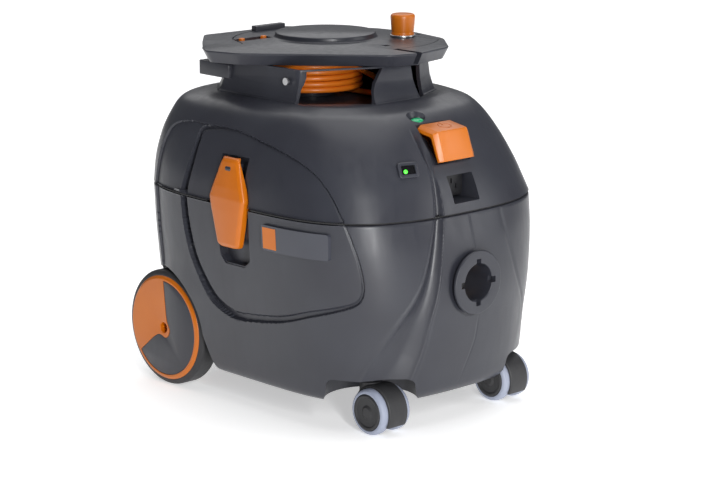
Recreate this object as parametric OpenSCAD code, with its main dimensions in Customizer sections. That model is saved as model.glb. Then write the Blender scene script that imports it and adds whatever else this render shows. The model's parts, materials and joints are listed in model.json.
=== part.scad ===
// Tub vacuum cleaner on two large rear wheels and two front twin-wheel casters.
// Millimetres, +Z up. The hose inlet faces -Y and the origin is on the floor, under
// the middle of the machine without its cord. Body shapes are written about the
// middle of the tub, and in_place() moves them to the origin used here.

/* [Shells] */
// Wall thickness of the moulded tub and head
wall = 4; // [3:0.5:5]
// Height of the gap between tub and head
gap_z = 229.5; // [228:0.5:231]
// Thickness of the rubber seal between tub and head
seal_t = 2; // [1.5:0.5:3]
// Facets round each moulded shell
facets = 48; // [32:4:64]

/* [Rear wheels] */
// Radius of the rear tyre
tyre_r = 66; // [64:1:68]
// Distance of a wheel's outer face from the middle of the machine
wheel_face = 149; // [147:1:151]
// Width of the wheel
wheel_w = 28; // [24:1:29]
// Axle position behind the middle of the tub
axle_y = 121.5; // [118:0.5:124]
// Radius of the steel axle
axle_r = 6; // [5:0.5:7]

/* [Casters] */
// Caster stem, to each side of the middle
caster_x = 92.5; // [90:0.5:95]
// Caster stem, in front of the middle of the tub
caster_y = 160; // [158:1:162]
// Radius of a caster wheel
caster_r = 25; // [24:0.5:25]
// Distance from stem to caster axle
caster_trail = 16; // [14:1:17]
// Half the width across a pair of caster wheels
caster_half = 22; // [21:0.5:22.5]
// Radius of the stem
stem_r = 5.5; // [5:0.5:6]

/* [Hose inlet] */
// Height of the hose inlet
inlet_z = 157; // [154:1:160]
// Radius of the hose bore
inlet_r = 20.4; // [19:0.2:21]
// Outer radius of the inlet ring
ring_r = 35; // [34:0.5:36]
// Distance of the ring's face in front of the middle of the tub
inlet_face = 228.5; // [227:0.5:229]

/* [Cord] */
// Diameter of the mains cord
cord_d = 6.4; // [6:0.1:6.6]
// Outer radius of the wound cord
coil_r = 60; // [56:1:61]
// Radius of the post that the cord is wound on
core_r = 28; // [26:1:30]

/* [Moving parts] */
// Radial clearance of every pin and shaft
run_gap = 0.06; // [0.02:0.02:0.1]
// Gap left between bodies that move apart
seat_gap = 0.3; // [0.3:0.1:1]
// Radius of the latches' hinge pins
latch_pin_r = 1.8; // [1.5:0.1:2]

/* [Hidden] */

$fn = 64;
front_reach = inlet_face;
rear_reach = 203.5;
y_shift = (front_reach - rear_reach) / 2;
head_z = gap_z + seal_t + seat_gap;
deck_z = 338;
grey = "#4d4e58";
dark = "#26262a";
orange = "#e8850f";

// Sections of the body, bottom to top: height, half width, front reach, rear reach,
// then the powers of the front half and of the rear half (side power, end power)
tub_sections = [
    [32, 136, 194, 170, 2.9, 4.5, 3.0, 3.6],
    [36, 142, 203, 176, 2.8, 4.4, 3.0, 3.6],
    [44, 146, 209, 180, 2.75, 4.3, 3.0, 3.6],
    [60, 149, 212, 183, 2.7, 4.3, 3.0, 3.6],
    [100, 153, 218, 186, 2.5, 4.2, 3.0, 3.6],
    [150, 159, 223, 188, 2.4, 4.2, 3.0, 3.6],
    [195, 163, 219, 189, 2.5, 4.3, 3.0, 3.6],
    [gap_z, 165, 212, 189, 2.65, 4.3, 3.0, 3.6]];
head_sections = [
    [head_z, 165, 212, 189, 2.65, 4.3, 3.0, 3.6],
    [255, 161.5, 203, 189, 2.45, 4.0, 3.0, 3.6],
    [285, 153, 186, 183, 2.4, 3.8, 3.1, 3.7],
    [310, 142, 169, 172, 2.4, 3.6, 3.2, 3.8],
    [325, 132, 153, 161, 2.45, 3.6, 3.3, 3.9],
    [331, 125, 143, 150, 2.6, 3.6, 3.2, 3.8],
    [335, 116, 130, 134, 2.8, 3.6, 3.0, 3.6],
    [deck_z, 107, 119, 119, 3.0, 3.6, 3.0, 3.6]];

// Latch, hinged on the head just above the joint line
latch_y = -12;
latch_pin = [160, 270];
latch_face = 168;
latch_back = 157.5;
latch_lug = 4;
pocket_x = 156.5;

// Push button, as a side view in Y and Z
button_half = 26;
button_pin = [-167, 316];
button_pin_r = 2;
button_side = [[-160, 327], [-187, 318.5], [-197, 285], [-189, 285], [-161, 308]];

// Neck under the top plate: foot at the deck, head under the plate
neck_floor_z = 322;
neck_foot_z = 336;
neck_top_z = 373;
neck_foot = [[103, 76, 14], [76, 109, 14], [-76, 109, 14], [-103, 76, 14], [-101, -64, 8],
             [-50, -113, 12], [24, -113, 12], [78, -86, 14], [102, -40, 16]];
neck_top = [[94, 70, 12], [68, 102, 12], [-68, 102, 12], [-94, 70, 12], [-94, -48, 8],
            [-14, -86, 10], [38, -98, 10], [70, -80, 12], [90, -35, 14]];
cup_floor = neck_floor_z + 6;
core_pos = [0, 38];
lead_z = 332.5;
coil_z = lead_z + cord_d / 2 + 0.8;
coil_h = 33;

// Free end of the cord: it leaves the winding on a tangent and drops to the plug
free_turn = -15;
free_start = [core_pos[0] + (coil_r - cord_d / 2) * sin(free_turn),
              core_pos[1] - (coil_r - cord_d / 2) * cos(free_turn)];
free_z = 365.8;
free_run = 72;
free_side = 10.8;
free_drop = 28.4;

// Top plate: corners and corner radii of its outline
plate_top_z = 387;
plate_corners = [[-56, 156, 12], [-112, 92, 20], [-133, 60, 16], [-122, 22, 22],
                 [-8, -104, 22], [26, -113, 14], [82, -100, 26], [124, -50, 30],
                 [136, 8, 30], [127, 60, 20], [110, 94, 20], [56, 152, 12]];
boss_pos = [36, 51];
boss_r = 57;
knob_pos = [99, -9];
arm_pivot = [124.5, -8];
arm_end_r = 13.5;
arm_arc = [50, 18, 95];
arm_z = neck_top_z + 0.4;
lug_h = 4;

function signed_power(v, e) = sign(v) * pow(abs(v), e);

// One closed section: points at equal steps of angle round a squared-off oval
function section_ring(s, inset = 0, lift = 0, n = facets) = [
    for (i = [0 : n - 1])
        let (c = cos(360 * i / n), d = sin(360 * i / n))
        d < 0
            ? [(s[1] - inset) * signed_power(c, 2 / s[4]),
               -(s[2] - inset) * pow(-d, 2 / s[5]), s[0] + lift]
            : [(s[1] - inset) * signed_power(c, 2 / s[6]),
               (s[3] - inset) * pow(d, 2 / s[7]), s[0] + lift]];

// Arc that rounds corner i of a list of [x, y, radius]
function round_corner(c, i, steps) =
    let (n = len(c), p = c[i], a = c[(i + n - 1) % n], b = c[(i + 1) % n],
         ua = [a[0] - p[0], a[1] - p[1]] / norm([a[0] - p[0], a[1] - p[1]]),
         ub = [b[0] - p[0], b[1] - p[1]] / norm([b[0] - p[0], b[1] - p[1]]),
         half = acos(ua * ub) / 2,
         mid = (ua + ub) / norm(ua + ub),
         centre = [p[0], p[1]] + mid * p[2] / sin(half),
         start = [p[0], p[1]] + ua * p[2] / tan(half) - centre,
         turn = (ua[0] * ub[1] - ua[1] * ub[0] > 0 ? -1 : 1) * (180 - 2 * half))
    [for (k = [0 : steps])
        let (t = turn * k / steps)
        centre + [start[0] * cos(t) - start[1] * sin(t),
                  start[0] * sin(t) + start[1] * cos(t)]];

function rounded(c, steps = 5) = [for (i = [0 : len(c) - 1]) each round_corner(c, i, steps)];

function level(points, z) = [for (p = points) [p[0], p[1], z]];

module in_place() {
    translate([0, y_shift, 0]) children();
}

// Solid through a stack of closed sections with the same number of points
module loft(rings) {
    n = len(rings[0]);
    m = len(rings);
    sides = [for (j = [0 : m - 2], i = [0 : n - 1])
        let (k = (i + 1) % n, a = j * n + i, b = a + n, c = (j + 1) * n + k, d = j * n + k)
        each [[a, b, c], [a, c, d]]];
    polyhedron(
        [for (r = rings) each r],
        concat([[for (i = [0 : n - 1]) i]], sides, [[for (i = [n - 1 : -1 : 0]) (m - 1) * n + i]]),
        convexity = 6);
}

module box(low, high) {
    translate(low) cube(high - low);
}

// Turns a solid made along +Z to lie along -Y, with its base at y
module facing_front(y, z) {
    translate([0, y, z]) rotate([90, 0, 0]) children();
}

module both_sides() {
    children();
    mirror([1, 0, 0]) children();
}

module for_side(side) {
    if (side > 0) children();
    else mirror([1, 0, 0]) children();
}

// ---- Tub ----

// Space for one rear wheel, open to the side, the floor and the rear
module wheel_well(grow) {
    well_x = wheel_face - wheel_w - 4 - grow;
    well_r = tyre_r + 5 + grow;
    translate([well_x, axle_y, tyre_r]) rotate([0, 90, 0]) cylinder(r = well_r, h = 100);
    mouth = [[axle_y - 55 - grow, tyre_r + 42], [axle_y - 80 - grow, tyre_r - 15],
             [axle_y - 92 - grow, 20], [axle_y + 110, 20], [axle_y + 110, tyre_r + 10]];
    translate([well_x, 0, 0]) rotate([90, 0, 90]) linear_extrude(100) polygon(mouth);
}

module caster_pocket(grow) {
    translate([caster_x, -caster_y, 0]) cylinder(r = 50 + grow, h = 60 + grow);
}

module tub_inside() {
    difference() {
        loft([for (i = [1 : len(tub_sections) - 1])
            section_ring(tub_sections[i], wall, i == len(tub_sections) - 1 ? 1 : 2)]);
        both_sides() {
            wheel_well(wall);
            caster_pocket(wall);
            translate([caster_x, -caster_y, 0]) cylinder(r = stem_r + 6, h = 100);
            box([pocket_x - wall, latch_y - 40, 155], [200, latch_y + 40, 300]);
        }
        facing_front(-204, inlet_z) cylinder(r = inlet_r + 9, h = 25);
    }
}

module tub_shell() {
    in_place() color(grey) difference() {
        loft([for (s = tub_sections) section_ring(s)]);
        tub_inside();
        both_sides() {
            wheel_well(0);
            caster_pocket(0);
            translate([caster_x, -caster_y, 50]) cylinder(r = stem_r + run_gap, h = 44);
            box([pocket_x, latch_y - 35, 164], [200, latch_y + 35, 300]);
            box([pocket_x - 7, latch_y - 20, 168], [200, latch_y + 20, 192]);
        }
        translate([-200, axle_y, tyre_r]) rotate([0, 90, 0]) cylinder(r = axle_r, h = 400);
        facing_front(-140, inlet_z) cylinder(r = inlet_r + 4, h = 100);
        facing_front(-inlet_face + 7, inlet_z) cylinder(r = ring_r + 0.5, h = 30);
    }
}

// Flanged tube that the hose plugs into, with four bayonet notches at its mouth
module inlet_ring() {
    tube = 38;
    in_place() color(grey) facing_front(-inlet_face + tube, inlet_z) difference() {
        rotate_extrude() polygon([[inlet_r, 0], [inlet_r + 4, 0], [inlet_r + 4, tube - 7],
            [ring_r, tube - 7], [ring_r, tube - 1.5], [ring_r - 1.5, tube], [inlet_r, tube]]);
        for (a = [0 : 90 : 270]) rotate(a) box([inlet_r - 3, -3, tube - 4], [inlet_r + 4, 3, tube + 1]);
    }
}

module inlet_seal() {
    in_place() color(dark) facing_front(-inlet_face + 42, inlet_z) difference() {
        cylinder(r = inlet_r + 7, h = 4);
        translate([0, 0, -1]) cylinder(r = inlet_r - 1.4, h = 6);
    }
}

module bag_collar() {
    in_place() color("tan") facing_front(-inlet_face + 58, inlet_z) difference() {
        union() {
            translate([-48, -48, 13]) cube([96, 80, 3]);
            cylinder(r = inlet_r + 4, h = 14);
        }
        translate([0, 0, -1]) cylinder(r = inlet_r - 0.4, h = 20);
    }
}

// Filter bag, a soft closed pillow joined to the back of its collar
module filter_bag() {
    bag = [[84, 70, 130, 120], [88, 88, 158, 148], [110, 96, 172, 158], [150, 97, 176, 160],
           [180, 94, 170, 156], [192, 84, 158, 148], [197, 62, 130, 122]];
    in_place() color("linen") difference() {
        loft([for (b = bag) section_ring([b[0], b[1], b[2], b[3], 3, 3, 3, 3], 0, 0, 32)]);
        box([-60, -200, 80], [60, -inlet_face + 58, 200]);
    }
}

module rear_axle() {
    end = wheel_face - 12;
    in_place() color("silver") translate([-end, axle_y, tyre_r]) rotate([0, 90, 0])
        cylinder(r = axle_r, h = 2 * end);
}

// Carrier on the rear wall for the parked floor tool, with a slot for its hook
module tool_park_bracket() {
    half = 98;
    back = 150;
    in_place() color(grey) difference() {
        translate([0, 0, 134]) linear_extrude(90) polygon(rounded([[-half, back, 1],
            [-half, 192, 4], [-half + 16, rear_reach, 8], [half - 16, rear_reach, 8],
            [half, 192, 4], [half, back, 1]]));
        loft([for (i = [4 : 7]) section_ring(tub_sections[i], -0.1)]);
        box([-19, back, 150], [19, 198, 230]);
        box([-11, back, 150], [11, 210, 230]);
    }
}

module lid_seal() {
    top = tub_sections[len(tub_sections) - 1];
    in_place() color(dark) difference() {
        loft([section_ring(top, 2.2, 0), section_ring(top, 2.2, seal_t)]);
        loft([section_ring(top, 8, -1), section_ring(top, 8, seal_t + 1)]);
        both_sides() box([pocket_x - 0.5, latch_y - 36, 200], [200, latch_y + 36, 300]);
    }
}

// Thin blank badge that follows the left side of the tub
module side_badge() {
    rows = [for (i = [5 : 7]) tub_sections[i]];
    in_place() color("slategray") difference() {
        intersection() {
            loft([for (s = rows) section_ring(s, -0.9)]);
            box([-200, -155, 191], [0, -67, 219]);
        }
        loft([for (s = rows) section_ring(s, -0.1)]);
    }
}

// ---- Rear wheels ----

module wheel_axis() {
    in_place() translate([wheel_face, axle_y, tyre_r]) rotate([0, -90, 0]) children();
}

module rear_tyre() {
    wheel_axis() color(dark) rotate_extrude($fn = 96) polygon([[56, 3], [60, 3],
        [tyre_r - 1.2, 4.5], [tyre_r, 7], [tyre_r, wheel_w - 3], [tyre_r - 2, wheel_w],
        [56, wheel_w]]);
}

// Grey insert: the face of the wheel but for one orange sector round the hub.
// First coordinate up, second to the rear
function insert_outline(r) = concat(
    [for (a = [128 : 8 : 360]) r * [cos(a), sin(a)]],
    [[10, -5], [-2, -10], [-11, -4], [-10, 12]]);

module rear_hub() {
    wheel_axis() color(orange) difference() {
        rotate_extrude($fn = 96) polygon([[axle_r + run_gap, 0], [57, 0], [60, 3], [56, 3],
            [56, wheel_w], [50, wheel_w], [50, 6], [14, 6], [14, wheel_w],
            [axle_r + run_gap, wheel_w]]);
        translate([0, 0, -1]) linear_extrude(3) polygon(insert_outline(55));
    }
}

module rear_insert() {
    wheel_axis() color(grey) translate([0, 0, 0.2]) linear_extrude(1.8)
        polygon(insert_outline(54.8));
}

// ---- Casters ----

module caster_frame() {
    in_place() translate([caster_x, -caster_y, 0]) children();
}

module caster_axis() {
    caster_frame() translate([0, -caster_trail, caster_r]) rotate([0, 90, 0]) children();
}

// Web between the two wheels, a fender over both treads and a boss for the stem
module caster_hood() {
    fender_r = 28;
    fender_half = 13.5;
    web_half = 7.4;
    caster_frame() color(dark) difference() {
        union() {
            translate([-fender_half, -caster_trail, caster_r]) rotate([0, 90, 0])
                cylinder(r = fender_r, h = 2 * fender_half);
            translate([0, 0, 36]) cylinder(r = 12, h = 18);
        }
        both_sides() translate([web_half, -caster_trail, caster_r]) rotate([0, 90, 0])
            cylinder(r = caster_r + 0.8, h = 10);
        box([-30, -60, -10], [30, 60, 11]);
        box([-30, -caster_trail - 4, -1], [30, 60, 20]);
        translate([-20, -caster_trail, caster_r]) rotate([0, 90, 0]) cylinder(r = 4, h = 40);
        translate([0, 0, 38]) cylinder(r = stem_r, h = 40);
    }
}

module caster_stem() {
    caster_frame() color("silver") translate([0, 0, 38]) cylinder(r = stem_r, h = 54);
}

module caster_axle() {
    caster_axis() color("silver") translate([0, 0, -caster_half + 3])
        cylinder(r = 4, h = 2 * caster_half - 6);
}

// One caster wheel: a dished disc whose bore runs on the axle
module caster_wheel(out) {
    caster_axis() mirror([0, 0, out > 0 ? 0 : 1]) color(dark) rotate_extrude() polygon([
        [4 + run_gap, 8.2], [20, 8.2], [20, caster_half - 1.5], [18.5, caster_half],
        [0, caster_half], [0, caster_half - 2.8], [4 + run_gap, caster_half - 2.8]]);
}

module caster_tyre(out) {
    caster_axis() mirror([0, 0, out > 0 ? 0 : 1]) color("lightsteelblue") rotate_extrude()
        polygon([[20, 8.2], [23.5, 8.2], [caster_r, 10], [caster_r, caster_half - 6],
            [24, caster_half - 3], [20, caster_half - 1.5]]);
}

// ---- Head ----

module head_inside() {
    difference() {
        loft([for (i = [0 : len(head_sections) - 1])
            section_ring(head_sections[i], wall, i == 0 ? -1 : -wall)]);
        both_sides() {
            box([141, latch_y - 42, 200], [200, latch_y + 42, 290]);
        }
        box([-27, -230, 236], [31, -168, 274]);
    }
}

// Pose of the status window on the sloping front left of the head
module window_pose() {
    translate([-63, -184.5, 280]) rotate([0, 0, -17]) rotate([62, 0, 0]) children();
}

// Knuckle on the head that carries a latch's hinge pin
module latch_knuckle(grow) {
    half = latch_lug + grow;
    hull() {
        translate([latch_pin[0], latch_y - half, latch_pin[1]]) rotate([-90, 0, 0])
            cylinder(r = 3.6 + grow, h = 2 * half);
        box([142, latch_y - half, latch_pin[1] - 3.6 - grow],
            [144, latch_y + half, latch_pin[1] + 3.6 + grow]);
    }
}

module head_shell() {
    in_place() color(grey) button_axis(button_pin_r, 2 * button_half + 4);
    in_place() color(grey) both_sides() difference() {
        latch_knuckle(0);
        latch_bore(0);
    }
    in_place() color(grey) difference() {
        loft([for (s = head_sections) section_ring(s)]);
        head_inside();
        translate([0, 0, 300]) linear_extrude(60) polygon(rounded(neck_foot, 3));
        both_sides() {
            box([pocket_x, latch_y - 35, 200], [200, latch_y + 35, latch_pin[1] + 17]);
            translate([latch_pin[0], latch_y - 35, latch_pin[1]]) rotate([-90, 0, 0])
                cylinder(r = 15.8, h = 70);
        }
        box([-17, -240, 241], [21, -173, 269]);
        box([-14, -180, 244], [18, -160, 266]);
        button_pocket();
        window_pose() box([-11.2, -8.2, -3.2], [11.2, 8.2, 10]);
        translate([-17, -150, 318]) cylinder(r = 6.5, h = 20);
        box([-70, 150, 248], [70, 200, 276]);
    }
}

module button_axis(r, length) {
    translate([-length / 2, button_pin[0], button_pin[1]]) rotate([0, 90, 0])
        cylinder(r = r, h = length);
}

module button_pocket() {
    pocket = [[-158.5, 350], [-158.5, 306], [-186, 281], [-220, 281], [-220, 350]];
    translate([-button_half - 1, 0, 0]) rotate([90, 0, 90])
        linear_extrude(2 * button_half + 2) polygon(pocket);
}

function drawn_in(points, d) = [for (p = points) [p[0], p[1]] * (1 - d / norm([p[0], p[1]]))];

module cup_solid(inset, top) {
    foot = drawn_in(rounded(neck_foot, 3), inset);
    loft([level(foot, neck_floor_z + inset), level(foot, neck_foot_z),
          level(drawn_in(rounded(neck_top, 3), inset), top)]);
}

// Cup that holds the wound cord: sunk in the deck, open to the front left
module cable_neck() {
    in_place() color(grey) difference() {
        union() {
            difference() {
                cup_solid(0, neck_top_z);
                cup_solid(6, neck_top_z + 1);
            }
            for (x = [-100, 86]) box([x, 104, 352], [x + 14, 111, 368]);
            for (x = [-100, 86]) box([x, 60, 352], [x + 4, 111, 368]);
        }
        translate([0, 0, neck_foot_z - 2]) linear_extrude(neck_top_z - neck_foot_z)
            polygon([[-30, -30], [-84, -50], [-170, -50], [-170, -190], [-40, -190], [-16, -80]]);
        box([27, -150, neck_foot_z - 2], [38, -60, neck_top_z - 2]);
        translate([-120, -34, 360]) rotate([0, 90, 0]) cylinder(r = 1.5, h = 40);
    }
}

module plate_outline() {
    polygon(rounded(plate_corners));
}

// Sector of the plate that swings out: from the gap in the rim to its own pivot
module arm_region(grow) {
    polygon(concat(
        [[28 - grow, -150], [28 - grow, -75]],
        [for (a = [256.5 : 5.25 : 310]) [arm_arc[0], arm_arc[1]]
            + (arm_arc[2] - grow) * [cos(a), sin(a)]],
        [[111 - grow, arm_pivot[1] + grow], [arm_pivot[0], arm_pivot[1] + grow],
         [arm_pivot[0], -12], [160, -12], [160, -150]]));
    translate(arm_pivot) circle(r = arm_end_r + grow);
}

module top_plate() {
    in_place() color(grey) difference() {
        union() {
            translate([0, 0, neck_top_z]) linear_extrude(plate_top_z - neck_top_z) plate_outline();
            translate([boss_pos[0], boss_pos[1], plate_top_z]) rotate_extrude() polygon([[0, 0],
                [boss_r + 3, 0], [boss_r + 1, 1.5], [boss_r, 4.8], [boss_r - 1.2, 6], [0, 6]]);
            box([4, 134, plate_top_z], [48, 143, plate_top_z + 6]);
        }
        translate([0, 0, neck_top_z - 1]) linear_extrude(30) difference() {
            arm_region(1);
            translate(arm_pivot) circle(r = arm_end_r - 3);
        }
        translate([0, 0, neck_top_z + lug_h]) linear_extrude(30) arm_region(1);
        translate([arm_pivot[0], arm_pivot[1], neck_top_z - 1]) cylinder(r = 3, h = 10);
        translate([28 - 7, -150, neck_top_z - 1]) cube([8, 76, 30]);
        translate([knob_pos[0], knob_pos[1], neck_top_z - 1]) cylinder(r = 5 + run_gap, h = 30);
        box([-60, 86, plate_top_z - 5], [-12, 102, plate_top_z + 20]);
    }
}

// Clip with two orange studs in the rear left of the plate
module plate_clip() {
    in_place() color(orange) {
        box([-59, 87, plate_top_z - 5], [-13, 101, plate_top_z - 3.5]);
        for (x = [-52, -20]) translate([x, 94, plate_top_z - 5]) cylinder(r = 3.5, h = 7);
    }
}

module neck_screws() {
    in_place() color("gray") translate([-99, -34, 360]) rotate([0, 90, 0]) {
        cylinder(r = 1.5, h = 12);
        translate([0, 0, -1]) cylinder(r = 4, h = 2);
    }
}

module cable_core() {
    in_place() color(grey) translate([core_pos[0], core_pos[1], cup_floor]) difference() {
        cylinder(r = core_r, h = neck_top_z - cup_floor);
        translate([0, 0, -1]) cylinder(r = core_r - 3, h = neck_top_z);
    }
}

// Gland in the cup's floor, where the cord leaves towards the winding core
module cord_gland() {
    in_place() color(dark) {
        box([23, -86, cup_floor], [39, -74, cup_floor + 10]);
        translate([31, -50, lead_z]) rotate([90, 0, 0]) cylinder(r1 = 3.4, r2 = 4.2, h = 24);
    }
}

module head_floor() {
    floor_ring = head_sections[0];
    in_place() color(dark) difference() {
        loft([section_ring(floor_ring, wall + 5, 0), section_ring(floor_ring, wall + 5, wall)]);
        translate([core_pos[0], 20, 200]) cylinder(r = 40, h = 60);
        both_sides() box([140, latch_y - 43, 200], [200, latch_y + 43, 290]);
    }
}

module motor_axis(z) {
    in_place() translate([0, 20, z]) children();
}

module motor_housing() {
    base = head_z + wall + 3;
    motor_axis(base) color("silver") rotate_extrude() polygon([[18, 0], [60, 0], [60, 30],
        [56, 34], [56, 62], [44, 72], [8, 72], [8, 68], [4 + run_gap, 68], [4 + run_gap, 38],
        [50, 38], [54, 30], [56, 4], [18, 4]]);
}

module motor_shaft() {
    motor_axis(head_z + wall + 10) color("silver") cylinder(r = 4, h = 62);
}

// Fan: hub, back plate and front plate with curved blades between them
module fan_wheel() {
    motor_axis(head_z + wall + 11) color("lightgray") difference() {
        union() {
            translate([0, 0, 16]) cylinder(r = 48, h = 2);
            difference() {
                cylinder(r = 48, h = 2);
                translate([0, 0, -1]) cylinder(r = 20, h = 4);
            }
            cylinder(r = 8, h = 17);
            for (a = [0 : 45 : 315]) rotate(a) translate([34, 0, 1]) rotate(30) translate([-13, -1, 0])
                cube([26, 2, 16]);
        }
        translate([0, 0, -1]) cylinder(r = 4, h = 30);
    }
}

module motor_filter() {
    motor_axis(head_z - 15) color("whitesmoke") cylinder(r = 66, h = 12);
}

module filter_cage() {
    motor_axis(head_z - 20) color(dark) difference() {
        cylinder(r = 72, h = 20);
        translate([0, 0, 2]) cylinder(r = 68, h = 20);
        for (a = [0 : 60 : 300]) rotate(a) translate([38, 0, -1]) cylinder(r = 12, h = 5);
    }
}

module exhaust_filter() {
    in_place() color("whitesmoke") box([-68, 158, 250], [68, 174, 274]);
}

// Louvred cover that follows the rear of the head
module exhaust_grille() {
    rows = [for (i = [0 : 2]) head_sections[i]];
    in_place() color(dark) difference() {
        intersection() {
            loft([for (s = rows) section_ring(s, -3.5)]);
            box([-96, 60, 240], [96, 220, 283]);
        }
        loft([for (s = rows) section_ring(s, -0.3)]);
        for (z = [249 : 6 : 273]) box([-66, 150, z], [66, 220, z + 3]);
    }
}

// Mains outlet at the bottom of its pocket, with three contact slots
module outlet_socket() {
    in_place() color("black") difference() {
        box([-14, -180, 244], [18, -161, 266]);
        for (x = [-5, 2, 9]) box([x - 1.2, -190, x == 2 ? 257 : 251], [x + 1.2, -168, x == 2 ? 262 : 256]);
    }
}

module led_window() {
    in_place() color("black") window_pose() difference() {
        box([-11, -8, -3], [11, 8, 2.5]);
        box([-8, -5, 0], [8, 5, 5]);
    }
}

module status_led() {
    in_place() color("lime") window_pose() translate([-3, -1.5, 0]) cylinder(r = 2.2, h = 1.6);
}

module bag_full_lens() {
    in_place() color("seagreen") translate([-17, -150, 318]) rotate_extrude()
        polygon([[0, 0], [6.4, 0], [6.4, 7], [5, 9.5], [0, 10.5]]);
}

module power_switch() {
    in_place() color("dimgray") box([-12, -160, 268], [12, -140, 288]);
}

module control_board() {
    in_place() color("darkgreen") box([-72, -150, head_z + wall], [-32, -148, 285]);
}

module latch_bore(grow, half = 15) {
    translate([latch_pin[0], latch_y - half, latch_pin[1]]) rotate([-90, 0, 0])
        cylinder(r = latch_pin_r + grow, h = 2 * half);
}

module latch_pins() {
    in_place() color("silver") both_sides() latch_bore(0);
}

// Long six-sided latch, pulled outwards by its lower end
module latch() {
    outline = rounded([[-13, 282, 4], [13, 282, 4], [29, 238, 8], [17, 184, 6],
        [-17, 184, 6], [-29, 238, 8]], 3);
    in_place() color(orange) difference() {
        translate([latch_back, latch_y, 0]) rotate([90, 0, 90])
            linear_extrude(latch_face - latch_back) polygon(outline);
        latch_bore(run_gap, 15.5);
        translate([latch_pin[0], latch_y - latch_lug - seat_gap, latch_pin[1]])
            rotate([-90, 0, 0]) cylinder(r = 3.6 + seat_gap, h = 2 * (latch_lug + seat_gap));
        box([latch_back - 1, latch_y - latch_lug - seat_gap, latch_pin[1] - 8],
            [latch_pin[0] + 3.4, latch_y + latch_lug + seat_gap, latch_pin[1] + 20]);
    }
}

module power_button() {
    in_place() color(orange) difference() {
        translate([-button_half, 0, 0]) rotate([90, 0, 90])
            linear_extrude(2 * button_half) polygon(button_side);
        button_axis(button_pin_r + run_gap, 2 * button_half + 2);
    }
}

// Swinging sector of the plate; its end turns on a pin that stands on the plate's lug
module release_arm() {
    in_place() color(grey) difference() {
        translate([0, 0, arm_z]) linear_extrude(plate_top_z - arm_z) intersection() {
            plate_outline();
            arm_region(0);
        }
        translate([arm_pivot[0], arm_pivot[1], arm_z - 1]) {
            cylinder(r = 3 + run_gap, h = 30);
            cylinder(r = arm_end_r + 1, h = lug_h + seat_gap + neck_top_z - arm_z + 1);
        }
    }
}

module arm_pin() {
    in_place() color("silver") translate([arm_pivot[0], arm_pivot[1], neck_top_z])
        cylinder(r = 3, h = 13);
}

// Quarter-turn knob that locks the arm
module release_knob() {
    in_place() color(orange) translate([knob_pos[0], knob_pos[1], neck_top_z + 1]) rotate_extrude()
        polygon([[0, 0], [5, 0], [5, 13.4], [13.5, 13.4], [13.5, 16.5], [12.6, 16.5],
            [14, 37], [12.5, 39.5], [0, 39.5]]);
}

module cord_coil() {
    in_place() color(orange) translate([core_pos[0], core_pos[1], coil_z])
        rotate_extrude() polygon([[core_r + 0.5, 0], [coil_r, 0], [coil_r, coil_h],
            [core_r + 0.5, coil_h]]);
}

function ring_at(p, d) = [for (a = [0 : 45 : 315])
    let (side = [d[1], -d[0], 0] / norm([d[0], d[1]]), up = cross(side, d) / norm(d))
    p + cord_d / 2 * (side * cos(a) + up * sin(a))];

// The cord's free end, from the outer top turn down to the plug
function free_cord(t) = let (e = t * t * (3 - 2 * t), along = free_run * t, out = free_side * e)
    [free_start[0] + along * cos(free_turn) + out * sin(free_turn),
     free_start[1] + along * sin(free_turn) - out * cos(free_turn),
     free_z - free_drop * e];

// The cord's two free ends: in from the gland under the coil, and out to the plug
module cord_ends() {
    first = [for (t = [0 : 0.1 : 1]) [31, -50 + 66 * t, lead_z]];
    last = [for (t = [0.36 : 0.06 : 0.97]) free_cord(t)];
    in_place() color(orange) for (path = [first, last])
        loft([for (i = [0 : len(path) - 1])
            ring_at(path[i], path[min(i + 1, len(path) - 1)] - path[max(i - 1, 0)])]);
}

// Mains plug, laid beside the wound cord
module plug() {
    in_place() color(dark) translate(free_cord(1)) rotate([0, 0, free_turn])
        rotate([0, 90, 0]) cylinder(r = 9, h = 28);
}

tub_shell();
inlet_ring();
inlet_seal();
bag_collar();
filter_bag();
rear_axle();
tool_park_bracket();
lid_seal();
side_badge();
for_side(-1) rear_tyre();  // rear_tyre_left
for_side(-1) rear_hub();  // rear_hub_left
for_side(-1) rear_insert();  // rear_insert_left
for_side(1) rear_tyre();  // rear_tyre_right
for_side(1) rear_hub();  // rear_hub_right
for_side(1) rear_insert();  // rear_insert_right
for_side(-1) caster_hood();  // caster_hood_left
for_side(-1) caster_stem();  // caster_stem_left
for_side(-1) caster_axle();  // caster_axle_left
for_side(-1) caster_wheel(1);  // caster_wheel_left_outer
for_side(-1) caster_tyre(1);  // caster_tyre_left_outer
for_side(-1) caster_wheel(-1);  // caster_wheel_left_inner
for_side(-1) caster_tyre(-1);  // caster_tyre_left_inner
for_side(1) caster_hood();  // caster_hood_right
for_side(1) caster_stem();  // caster_stem_right
for_side(1) caster_axle();  // caster_axle_right
for_side(1) caster_wheel(1);  // caster_wheel_right_outer
for_side(1) caster_tyre(1);  // caster_tyre_right_outer
for_side(1) caster_wheel(-1);  // caster_wheel_right_inner
for_side(1) caster_tyre(-1);  // caster_tyre_right_inner
head_shell();
cable_neck();
top_plate();
plate_clip();
neck_screws();
cable_core();
cord_gland();
head_floor();
motor_housing();
motor_filter();
filter_cage();
exhaust_filter();
exhaust_grille();
outlet_socket();
led_window();
status_led();
bag_full_lens();
power_switch();
control_board();
latch_pins();
arm_pin();
motor_shaft();
fan_wheel();
power_button();
for_side(-1) latch();  // latch_left
for_side(1) latch();  // latch_right
release_arm();
release_knob();
cord_coil();
cord_ends();
plug();
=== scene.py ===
import json
import math
import bmesh
import bpy
import numpy as np
from mathutils import Matrix, Vector, kdtree

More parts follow.
